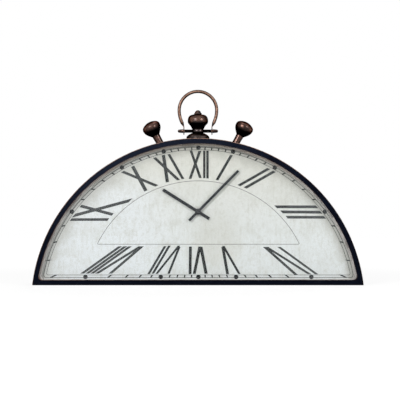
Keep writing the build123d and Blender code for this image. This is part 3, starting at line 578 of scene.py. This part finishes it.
copperLooks = {                 # rings: place between foot and tip, and how bright the painted light and shade make it there
    "crown_base": {
        "foot": (0.0, 0.0, 0.220), "length": 0.0097, "mottle": 170.0,
        "patinaAndShade": (0.010, 0.007, 0.006), "middle": (0.058, 0.038, 0.033),
        "bright": (0.21, 0.150, 0.130),
        "lightAndShadeRings": ((0.0, 0.55), (0.25, 0.9), (0.55, 1.0), (1.0, 0.75)),
    },
    "crown_collar": {
        "foot": (0.0, 0.0, 0.2297), "length": 0.0064, "mottle": 260.0,
        "patinaAndShade": (0.008, 0.005, 0.005), "middle": (0.052, 0.036, 0.034),
        "bright": (0.20, 0.155, 0.145),
        "lightAndShadeRings": ((0.0, 0.25), (0.35, 1.0), (0.65, 1.0), (1.0, 0.35)),
    },
    "crown_onion": {
        "foot": (0.0, 0.0, 0.2361), "length": 0.0218, "mottle": 120.0,
        "patinaAndShade": (0.024, 0.009, 0.005), "middle": (0.072, 0.031, 0.018),
        "bright": (0.19, 0.100, 0.066),
        "lightAndShadeRings": ((0.0, 0.04), (0.25, 0.08), (0.40, 0.60), (0.56, 1.0), (0.88, 1.0), (1.0, 0.7)),
        "lacquer": 0.62, "roughness": (0.36, 0.27),
    },
    "crown_button": {
        "foot": (0.0, 0.0, 0.2579), "length": 0.0069, "mottle": 240.0,
        "patinaAndShade": (0.010, 0.006, 0.005), "middle": (0.085, 0.048, 0.036),
        "bright": (0.26, 0.155, 0.12),
        "lightAndShadeRings": ((0.0, 0.15), (0.12, 0.8), (0.3, 0.9), (0.42, 0.3), (0.55, 1.0), (1.0, 0.9)),
    },
    "pin_caps": {
        "foot": (0.0, 0.0, 0.2300), "length": 0.0058, "mottle": 260.0,
        "patinaAndShade": (0.020, 0.010, 0.008), "middle": (0.12, 0.068, 0.052),
        "bright": (0.30, 0.19, 0.15),
        "lightAndShadeRings": ((0.0, 0.08), (0.35, 0.15), (0.6, 0.9), (1.0, 1.0)),
    },
    "pusher_left": dict(pusherCopper, foot=(-0.0570, 0.0, 0.2134), lean=-28.9),
    "pusher_right": dict(pusherCopper, foot=(0.0570, 0.0, 0.2134), lean=28.9),
}


def makeTurnedCopper(name, look):
    finish, tree, shader = startFinish(name, metal=1.0)
    shader.inputs["Specular Tint"].default_value = look["edgeTint"]
    shader.inputs["Coat Roughness"].default_value = look["lacquerRoughness"]
    spot = spotOf(tree)
    lean = math.radians(look["lean"])
    axis = (math.sin(lean), 0.0, math.cos(lean))
    along = figure(tree, "MULTIPLY", alongOf(tree, look["foot"], axis), 1.0 / look["length"])
    # painted light and shade in rings along the axis: dark lower parts, bright bands where the
    # lamps' highlights fall
    lightAndShadeRings = bands(tree, along, look["lightAndShadeRings"])
    mottle = clouds(tree, spot, look["mottle"], *look["mottleForm"])
    middle = spread(tree, mottle, *look["middleRange"])
    tone = blendTones(tree, middle, look["patinaAndShade"], look["middle"])
    tone = blendTones(tree, spread(tree, mottle, *look["brightRange"]), tone, look["bright"])
    tone = blendTones(tree, 1.0, tone, lightAndShadeRings, "MULTIPLY")
    # painted shade: surfaces facing down the axis are darker
    underShade = spread(tree, outwardOf(tree, axis), *look["underShadeRange"])
    tone = blendTones(tree, 1.0, tone, underShade, "MULTIPLY")
    facing = outwardOf(tree, backward)
    frontal = figure(tree, "MULTIPLY", facing, facing)
    # painted shade: the sides of a stem, away from the front, are darker
    if look["stemSideShade"]:
        beside = spread(tree, frontal, *look["sideShadeRange"], 0.0, look["stemSideShade"])
        sides = figure(tree, "MULTIPLY", beside, spread(tree, along, *look["stemRange"]))
        tone = blendTones(tree, sides, tone, look["patinaAndShade"])
    pits = clouds(tree, spot, *look["pits"])
    tone = blendTones(tree, spread(tree, pits, *look["pitRange"]), tone, look["patinaAndShade"])
    paint(tree, shader, tone, spread(tree, mottle, *look["roughRange"], *look["roughness"]))
    lacquer = spread(tree, frontal, *look["lacquerRange"], 0.0, look["lacquer"])
    tree.links.new(figure(tree, "MULTIPLY", lightAndShadeRings, lacquer), shader.inputs["Coat Weight"])
    relief(tree, shader, pits, *look["relief"])
    return finish


bailCopperLook = {
    "light": (0.27, 0.166, 0.124),
    "brown": (0.145, 0.082, 0.060),
    "patinaAndShade": (0.020, 0.011, 0.008),
    "edgeTint": (0.20, 0.18, 0.17, 1.0),
    "roughRange": (0.32, 0.70),
    "roughness": (0.54, 0.38),
    "relief": (0.00035, 0.35),
    "mottle": (240.0, 5.0, 0.6, 0.3),
    "lightRange": (0.36, 0.64),
    "ringCentre": (0.0, 0.0, 0.2648),
    "ringRadius": 0.0286,
    "innerInset": (0.0003, 0.0014),         # patina and painted shade start and are full this far inside the radius
    "innerRange": (0.262, 0.284, 0.55, 1.0),
    "sideShadeRange": (0.97, 0.42, 0.0, 0.90),
    "footRange": (0.256, 0.242),
    "footMottle": (0.44, 0.58, 0.9, 0.35),
    "pits": (1000.0, 4.0, 0.6),
    "pitRange": (0.60, 0.74, 0.0, 0.6),
}


def makeBailCopper(look):
    finish, tree, shader = startFinish("bailCopper", metal=1.0)
    shader.inputs["Specular Tint"].default_value = look["edgeTint"]
    spot = spotOf(tree)
    height = alongOf(tree, origin, upward)
    mottle = clouds(tree, spot, *look["mottle"])
    light = spread(tree, mottle, *look["lightRange"])
    tone = blendTones(tree, light, look["brown"], look["light"])
    # the inside of the ring is darker: patina, and painted shade for the rod's dark outline
    reach = reachOf(tree, look["ringCentre"], dialPlane)
    inner = spread(tree, reach, *(look["ringRadius"] - inset for inset in look["innerInset"]))
    inner = figure(tree, "MULTIPLY", inner, spread(tree, height, *look["innerRange"]))
    # painted shade: the sides of the rod, away from the front, are darker
    facing = outwardOf(tree, backward)
    sides = spread(tree, figure(tree, "MULTIPLY", facing, facing), *look["sideShadeRange"])
    foot = figure(tree, "MULTIPLY", spread(tree, height, *look["footRange"]),
                  spread(tree, mottle, *look["footMottle"]))
    pits = spread(tree, clouds(tree, spot, *look["pits"]), *look["pitRange"])
    for darkened in (inner, sides, foot, pits):
        tone = blendTones(tree, darkened, tone, look["patinaAndShade"])
    paint(tree, shader, tone, spread(tree, mottle, *look["roughRange"], *look["roughness"]))
    relief(tree, shader, mottle, *look["relief"])
    return finish


plainMetal = {                  # turned, pressed or plated: fine lines and clouds of tarnish
    "edgeTint": (1.0, 1.0, 1.0, 1.0),
    "cloud": (90.0, 5.0, 0.6),
    "tarnishRange": (0.36, 0.68),
    "lines": (1400.0, 3.0, 0.6),
    "stretch": allWays,
    "relief": (0.00003, 0.4),
}
plainMetalLooks = {
    "zinc_steel": {"tone": (0.46, 0.47, 0.49), "tarnish": (0.30, 0.31, 0.33),
                   "roughness": (0.26, 0.44)},
    "pin_black": {"tone": (0.003, 0.003, 0.003), "tarnish": (0.012, 0.010, 0.010),
                  "roughness": (0.30, 0.45), "edgeTint": (0.06, 0.06, 0.06, 1.0)},
    "bush_brass": {"tone": (0.62, 0.42, 0.16), "tarnish": (0.40, 0.26, 0.10),
                   "roughness": (0.20, 0.34)},
    "magnet": {"tone": (0.20, 0.20, 0.21), "tarnish": (0.11, 0.11, 0.12),
               "roughness": (0.35, 0.50)},
    "motor_iron": {"tone": (0.36, 0.37, 0.38), "tarnish": (0.24, 0.24, 0.25),
                   "roughness": (0.28, 0.46)},
    "coil_copper": {"tone": (0.72, 0.27, 0.11), "tarnish": (0.45, 0.15, 0.07),
                    "roughness": (0.22, 0.38), "relief": (0.00012, 0.4),
                    "lines": (900.0, 3.0, 0.6), "stretch": (8.0, 1.0, 1.0)},
}


def makePlainMetal(name, look):
    finish, tree, shader = startFinish(name, metal=1.0)
    shader.inputs["Specular Tint"].default_value = look["edgeTint"]
    cloud = clouds(tree, spotOf(tree), *look["cloud"])
    lines = clouds(tree, spotOf(tree, look["stretch"]), *look["lines"])
    tarnished = spread(tree, cloud, *look["tarnishRange"])
    tone = blendTones(tree, tarnished, look["tone"], look["tarnish"])
    paint(tree, shader, tone, spread(tree, lines, *cloudRange, *look["roughness"]))
    relief(tree, shader, lines, *look["relief"])
    return finish


moulded = {                     # plastic or rubber: faint flow clouds and a spark-eroded grain
    "gloss": 0.4,
    "cloud": (60.0, 4.0, 0.55),
    "wornRange": (0.35, 0.68),
    "grain": (2200.0, 3.0, 0.6),
    "relief": (0.00004, 0.4),
}
mouldedLooks = {
    "gasket": {"tone": (0.018, 0.018, 0.020), "worn": (0.035, 0.035, 0.037),
               "roughness": (0.65, 0.85), "gloss": 0.2},
    "movement_black": {"tone": (0.012, 0.012, 0.013), "worn": (0.022, 0.022, 0.024),
                       "roughness": (0.38, 0.56)},
    "gear_plastic": {"tone": (0.62, 0.60, 0.54), "worn": (0.50, 0.47, 0.40),
                     "roughness": (0.36, 0.52)},
    "knob_plastic": {"tone": (0.55, 0.54, 0.52), "worn": (0.40, 0.39, 0.37),
                     "roughness": (0.36, 0.52)},
}


def makeMoulded(name, look):
    finish, tree, shader = startFinish(name, gloss=look["gloss"])
    cloud = clouds(tree, spotOf(tree), *look["cloud"])
    grain = clouds(tree, spotOf(tree), *look["grain"])
    tone = blendTones(tree, spread(tree, cloud, *look["wornRange"]), look["tone"], look["worn"])
    paint(tree, shader, tone, spread(tree, grain, *cloudRange, *look["roughness"]))
    relief(tree, shader, grain, *look["relief"])
    return finish


spacerLook = {
    "low": (0.50, 0.478, 0.458),
    "crest": (0.27, 0.235, 0.20),
    "worn": (0.30, 0.26, 0.24),
    "gloss": 0.35,
    "roughness": (0.45, 0.62),
    "relief": (0.00004, 0.4),
    "crestRange": (0.11, 0.20),
    "cloud": (110.0, 4.0, 0.6),
    "wornRange": (0.46, 0.70, 0.0, 0.6),
    "grain": (1600.0, 3.0, 0.6),
}


def makeSpacerCard(look):
    finish, tree, shader = startFinish("spacerCard", gloss=look["gloss"])
    spot = spotOf(tree)
    height = alongOf(tree, origin, upward)
    cloud = clouds(tree, spot, *look["cloud"])
    grain = clouds(tree, spot, *look["grain"])
    # painted shade: the spacer darkens towards the top, under the rim
    tone = blendTones(tree, spread(tree, height, *look["crestRange"]), look["low"], look["crest"])
    tone = blendTones(tree, spread(tree, cloud, *look["wornRange"]), tone, look["worn"])
    paint(tree, shader, tone, spread(tree, grain, *cloudRange, *look["roughness"]))
    relief(tree, shader, grain, *look["relief"])
    return finish


fibreBoard = {                  # what both boards share
    "gloss": 0.2,
    "roughness": (0.6, 0.8),
    "relief": (0.00010, 0.5),
    "cloud": (30.0, 5.0, 0.6),
    "paleRange": (0.35, 0.68),
    "long": (700.0, 5.0, 0.65, 0.8),
    "longStretch": (0.25, 1.0, 1.0),
    "fibreRange": (0.52, 0.72, 0.0, 0.7),
    "cross": (520.0, 5.0, 0.65, 0.8),
    "crossStretch": (1.0, 1.0, 0.3),
    "darkRange": (0.55, 0.74, 0.0, 0.6),
}
boardLooks = {
    "dial_board": {"tone": (0.20, 0.115, 0.058), "pale": (0.26, 0.155, 0.085),
                   "fibre": (0.34, 0.22, 0.13), "dark": (0.10, 0.055, 0.028)},
    "rear_board": {"tone": (0.020, 0.019, 0.019), "pale": (0.030, 0.029, 0.028),
                   "fibre": (0.055, 0.050, 0.046), "dark": (0.010, 0.010, 0.010)},
}


def makeFibreBoard(name, look):
    finish, tree, shader = startFinish(name, gloss=look["gloss"])
    long = clouds(tree, spotOf(tree, look["longStretch"]), *look["long"])
    cross = clouds(tree, spotOf(tree, look["crossStretch"]), *look["cross"])
    cloud = clouds(tree, spotOf(tree), *look["cloud"])
    tone = blendTones(tree, spread(tree, cloud, *look["paleRange"]), look["tone"], look["pale"])
    tone = blendTones(tree, spread(tree, long, *look["fibreRange"]), tone, look["fibre"])
    tone = blendTones(tree, spread(tree, cross, *look["darkRange"]), tone, look["dark"])
    paint(tree, shader, tone, spread(tree, cross, *cloudRange, *look["roughness"]))
    relief(tree, shader, long, *look["relief"])
    return finish


circuitLook = {
    "mask": (0.016, 0.11, 0.045),
    "trace": (0.035, 0.20, 0.085),
    "solder": (0.50, 0.50, 0.49),
    "roughness": (0.28, 0.45),
    "relief": (0.00004, 0.4),
    "tracesPerMetre": 330.0,
    "traceRange": (0.10, 0.04),
    "blobs": (500.0, 3.0),
    "solderRange": (0.66, 0.72, 0.0, 0.7),
}


def makeCircuitGreen(look):
    finish, tree, shader = startFinish("circuitGreen")
    traces = tree.nodes.new("ShaderNodeTexVoronoi")
    traces.feature = "DISTANCE_TO_EDGE"
    traces.inputs["Scale"].default_value = look["tracesPerMetre"]
    tree.links.new(spotOf(tree), traces.inputs["Vector"])
    edge = traces.outputs[0]
    tone = blendTones(tree, spread(tree, edge, *look["traceRange"]), look["mask"], look["trace"])
    blobs = clouds(tree, spotOf(tree), *look["blobs"])
    tone = blendTones(tree, spread(tree, blobs, *look["solderRange"]), tone, look["solder"])
    paint(tree, shader, tone, spread(tree, blobs, *cloudRange, *look["roughness"]))
    relief(tree, shader, edge, *look["relief"])
    return finish


cellLook = {
    "jacket": (0.012, 0.012, 0.014),
    "band": (0.48, 0.25, 0.11),
    "steel": (0.55, 0.55, 0.56),
    "scuff": (0.20, 0.20, 0.20),
    "metal": 0.35,
    "roughness": (0.22, 0.40),
    "relief": (0.00002, 0.3),
    "bandRange": (0.0105, 0.0109),          # metres from the middle of the cell
    "endRange": (0.0246, 0.0248),
    "scuffs": (500.0, 4.0, 0.6),
    "scuffStretch": (0.2, 1.0, 1.0),
    "scuffRange": (0.66, 0.78, 0.0, 0.35),
}


def makeCellJacket(look):
    finish, tree, shader = startFinish("cellJacket", metal=look["metal"])
    along = alongOf(tree, origin, rightward)
    tone = blendTones(tree, spread(tree, along, *look["bandRange"]), look["jacket"], look["band"])
    ends = spread(tree, reachOf(tree, origin, rightward), *look["endRange"])
    tone = blendTones(tree, ends, tone, look["steel"])
    scuffs = clouds(tree, spotOf(tree, look["scuffStretch"]), *look["scuffs"])
    tone = blendTones(tree, spread(tree, scuffs, *look["scuffRange"]), tone, look["scuff"])
    paint(tree, shader, tone, spread(tree, scuffs, *cloudRange, *look["roughness"]))
    relief(tree, shader, scuffs, *look["relief"])
    return finish


def dress(finish, names):
    for name in names:
        piece = frame["nodes"][name]
        if not piece.material_slots:
            piece.data.materials.append(finish)
        for place in piece.material_slots:
            place.material = finish


pieceSlots = {}
for row in frame["record"]["subparts"]:
    pieceSlots.setdefault(row["material_slot"], []).append(row["node"])
print("table clock: dressing", sum(len(names) for names in pieceSlots.values()), "packed pieces")

dress(makeCaseEnamel(caseEnamelLook), pieceSlots["case_paint"])
dress(makePaneGlass(paneLook), pieceSlots["glass"])
dress(makeSpacerCard(spacerLook), pieceSlots["spacer"])
dress(makeDialPaper(dialPaperLook), pieceSlots["dial_paper"])
dress(makeHandLacquer(handLacquerLook), pieceSlots["hand_black"])
for pieceName, look in copperLooks.items():
    dress(makeTurnedCopper(pieceName + "_copper", {**turnedCopper, **look}), [pieceName])
dress(makeBailCopper(bailCopperLook), pieceSlots["bail_copper"])
for slotName, look in plainMetalLooks.items():
    dress(makePlainMetal(slotName + "_finish", {**plainMetal, **look}), pieceSlots[slotName])
for slotName, look in mouldedLooks.items():
    dress(makeMoulded(slotName + "_finish", {**moulded, **look}), pieceSlots[slotName])
for slotName, look in boardLooks.items():
    dress(makeFibreBoard(slotName + "_finish", {**fibreBoard, **look}), pieceSlots[slotName])
dress(makeCircuitGreen(circuitLook), pieceSlots["circuit_green"])
dress(makeCellJacket(cellLook), pieceSlots["cell_jacket"])
numeralInk = makeDialInk("numeralInk", inkLook)
trackInk = makeDialInk("trackInk", trackInkLook)
dotInk = makeDialInk("dotInk", dotInkLook)

print("table clock: printing the dial")

dialPrint = {                   # in millimetres, apart from the counts
    "paperFront": -26.0,
    "inkRise": 0.05,
    "inkSink": 0.04,
    "strokeStep": 0.006,        # strokes that cross lie this far apart, so that none flickers
    "dotStep": 0.010,
    "shift": 0.7,               # tracks and dots sit a little to the right, as the strokes do
    "handAxis": 110.0,
    "archCentre": -29.78,
    "outerLine": (237.1, 10.9, 4.0, 0.72),      # arch radius, base height, corner radius, width
    "innerLine": (233.1, 14.8, 2.4, 0.6),
    "halfMoonCentre": -12.8,
    "halfMoonLine": (169.2, 61.0, 1.2, 0.60),
    "archSteps": 96,
    "cornerSteps": 8,
    "minutes": 60,
    "tickFrom": (232.6, 15.3),                  # arch radius and base height of the inner ends
    "tickTo": (237.4, 10.6),
    "tickWidth": 1.9,
    "hours": 12,
    "dotPath": (236.1, 11.9),
    "dotRadius": 3.4,
    "dotSides": 28,
    "levelBelow": 60.0,         # lower strokes end level, higher ones square to the arch's radius
}

# each stroke: x and height of its outer end, then of its inner end, from the middle of the base,
# then its width
numeralStrokes = {
    "XII": ((-10.6, 202.1, 3.6, 160.7, 3.9), (3, 201.5, -11.9, 159.4, 4),
            (9.6, 201.8, 9.6, 160.3, 3.6), (14.4, 201.8, 14.4, 160, 3.7)),
    "I": ((50.5, 195.2, 28.6, 157.4, 4),),
    "II": ((106.6, 174.9, 61.6, 149.2, 3.9), (115.2, 170.8, 70.9, 145.6, 4)),
    "III": ((179.3, 117.3, 116.8, 117.3, 4.2), (185.6, 109.2, 125.6, 109.7, 4.3),
            (191, 101.5, 133.4, 101.7, 4.1)),
    "IV": ((147.9, 14.9, 100.5, 56.9, 3.7), (168.2, 15.8, 103.1, 56.9, 3.2),
           (178.7, 15.8, 122, 56.9, 3.1)),
    "V": ((44.6, 16, 37.4, 57, 4.3), (62.3, 16.4, 38.2, 58.4, 3.4)),
    "VI": ((-11.8, 16.1, -11.3, 57.6, 4.3), (-5.5, 16.4, 2.9, 57.6, 4.4),
           (12.3, 16.6, 4.5, 57.1, 4.7)),
    "VII": ((-74.2, 16.1, -49.4, 58.1, 3.4), (-67.8, 16.8, -42.9, 58.9, 3.3),
            (-62.2, 16.5, -28.5, 58.9, 3), (-44.2, 16.6, -27.9, 57.1, 3.3)),
    "VIII": ((-174.2, 16.9, -116.8, 57.9, 3.4), (-166.6, 16.9, -109, 57.9, 3.3),
             (-159.4, 16.9, -102, 57.9, 3.3), (-152.3, 16.9, -86.2, 57.9, 3.3),
             (-131.8, 16.9, -84, 57.9, 3.6)),
    "IX": ((-176.7, 118.7, -128.2, 105.7, 4.4), (-187.2, 104, -101.3, 127.1, 4.4),
           (-191.5, 98.1, -134.8, 98.2, 4)),
    "X": ((-98.3, 178.4, -78.2, 141.2, 5.2), (-113.6, 170.3, -61.8, 148.8, 4)),
    "XI": ((-65.4, 191.3, -29.1, 157.6, 4.1), (-51.9, 195.4, -45.9, 154.3, 5),
           (-43.8, 196.5, -22.4, 159.1, 3.9)),
}


def inkDepths(rise):
    return dialPrint["paperFront"] + dialPrint["inkSink"], dialPrint["paperFront"] - rise


def inkPlate(points, faces, outline, rise):
    # one flat printed shape, its outline counter-clockwise as (x, height) from the front
    start, count = len(points), len(outline)
    back, front = inkDepths(rise)
    points += [(x * mm, front * mm, z * mm) for x, z in outline]
    points += [(x * mm, back * mm, z * mm) for x, z in outline]
    faces.append([start + i for i in range(count)])
    faces.append([start + count + i for i in reversed(range(count))])
    for i in range(count):
        j = (i + 1) % count
        faces.append([start + j, start + i, start + count + i, start + count + j])


def inkRing(points, faces, outer, inner, rise):
    # a closed printed line between two outlines of the same count
    start, count = len(points), len(outer)
    back, front = inkDepths(rise)
    loops = ((outer, front), (inner, front), (inner, back), (outer, back))
    for loop, depth in loops:
        points += [(x * mm, depth * mm, z * mm) for x, z in loop]
    for i in range(count):
        j = (i + 1) % count
        for side in range(len(loops)):
            near, far = start + side * count, start + (side + 1) % len(loops) * count
            faces.append([near + i, near + j, far + j, far + i])


def halfMoonLoop(archCentre, archRadius, base, corner):
    # rounded half-moon outline, counter-clockwise
    cornerZ = base + corner
    rise = cornerZ - archCentre
    cornerX = math.sqrt((archRadius - corner) ** 2 - rise ** 2)
    turn = math.atan2(rise, cornerX)
    steps = dialPrint["cornerSteps"]
    right = []
    for i in range(steps + 1):
        angle = -math.pi / 2 + (turn + math.pi / 2) * i / steps
        right.append((cornerX + corner * math.cos(angle), cornerZ + corner * math.sin(angle)))
    steps = dialPrint["archSteps"]
    arch = []
    for i in range(1, steps):
        angle = turn + (math.pi - 2 * turn) * i / steps
        arch.append((archRadius * math.cos(angle), archCentre + archRadius * math.sin(angle)))
    loop = right + arch + [(-x, z) for x, z in reversed(right)]
    return [(x + dialPrint["shift"], z) for x, z in loop]


def finishInk(name, points, faces, ink):
    sheet = bpy.data.meshes.new(name)
    sheet.from_pydata(points, [], faces)
    sheet.materials.append(ink)
    piece = addObject(name, sheet)
    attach(piece, "case")


def printLine(name, archCentre, line):
    radius, base, corner, width = line
    half = width / 2
    outer = halfMoonLoop(archCentre, radius + half, base - half, corner + half)
    inner = halfMoonLoop(archCentre, radius - half, base + half, corner - half)
    points, faces = [], []
    inkRing(points, faces, outer, inner, dialPrint["inkRise"])
    finishInk(name, points, faces, trackInk)


def strokeOutline(ends, width):
    x1, z1, x2, z2 = ends
    run = Vector((x2 - x1, z2 - z1)).normalized()
    middle = Vector(((x1 + x2) / 2, (z1 + z2) / 2))
    cut = Vector((1.0, 0.0))
    if middle.y > dialPrint["levelBelow"]:
        radial = Vector((middle.x, middle.y - dialPrint["archCentre"])).normalized()
        cut = Vector((radial.y, -radial.x))
    across = abs(run.x * cut.y - run.y * cut.x)
    half = cut * width / 2 / across
    outer, inner = Vector((x1, z1)), Vector((x2, z2))
    outline = [outer - half, outer + half, inner + half, inner - half]
    area = sum(a.x * b.y - b.x * a.y for a, b in zip(outline, outline[1:] + outline[:1]))
    return outline if area > 0 else outline[::-1]


def printNumerals(strokes):
    for numeral, rows in strokes.items():
        points, faces = [], []
        for i, row in enumerate(rows):
            rise = dialPrint["inkRise"] + dialPrint["strokeStep"] * i
            inkPlate(points, faces, strokeOutline(row[:4], row[4]), rise)
        finishInk("numeral" + numeral, points, faces, numeralInk)


def rayMeets(angle, archRadius, base):
    # where the ray from the hands' axis meets the half-moon of that radius and base height
    dx, dz = math.sin(angle), math.cos(angle)
    above = dialPrint["handAxis"] - dialPrint["archCentre"]
    along = above * dz
    reach = -along + math.sqrt(along ** 2 - above ** 2 + archRadius ** 2)
    if dz < 0:
        reach = min(reach, (dialPrint["handAxis"] - base) / -dz)
    return dx * reach + dialPrint["shift"], dialPrint["handAxis"] + dz * reach


def printTicks():
    points, faces = [], []
    rise = dialPrint["inkRise"] + dialPrint["strokeStep"]
    perHour = dialPrint["minutes"] // dialPrint["hours"]
    for minute in range(dialPrint["minutes"]):
        if minute % perHour == 0:
            continue
        angle = math.radians(360.0 / dialPrint["minutes"] * minute)
        ends = rayMeets(angle, *dialPrint["tickTo"]) + rayMeets(angle, *dialPrint["tickFrom"])
        inkPlate(points, faces, strokeOutline(ends, dialPrint["tickWidth"]), rise)
    finishInk("minuteTicks", points, faces, trackInk)


def printDots():
    points, faces = [], []
    radius, sides = dialPrint["dotRadius"], dialPrint["dotSides"]
    turns = [math.tau * i / sides for i in range(sides)]
    rise = dialPrint["inkRise"] + dialPrint["dotStep"]
    for hour in range(dialPrint["hours"]):
        x, z = rayMeets(math.radians(360.0 / dialPrint["hours"] * hour), *dialPrint["dotPath"])
        outline = [(x + radius * math.cos(turn), z + radius * math.sin(turn)) for turn in turns]
        inkPlate(points, faces, outline, rise)
    finishInk("hourDots", points, faces, dotInk)


printLine("minuteTrackOuter", dialPrint["archCentre"], dialPrint["outerLine"])
printLine("minuteTrackInner", dialPrint["archCentre"], dialPrint["innerLine"])
printLine("halfMoonLine", dialPrint["halfMoonCentre"], dialPrint["halfMoonLine"])
printNumerals(numeralStrokes)
printTicks()
printDots()

print("table clock: done")
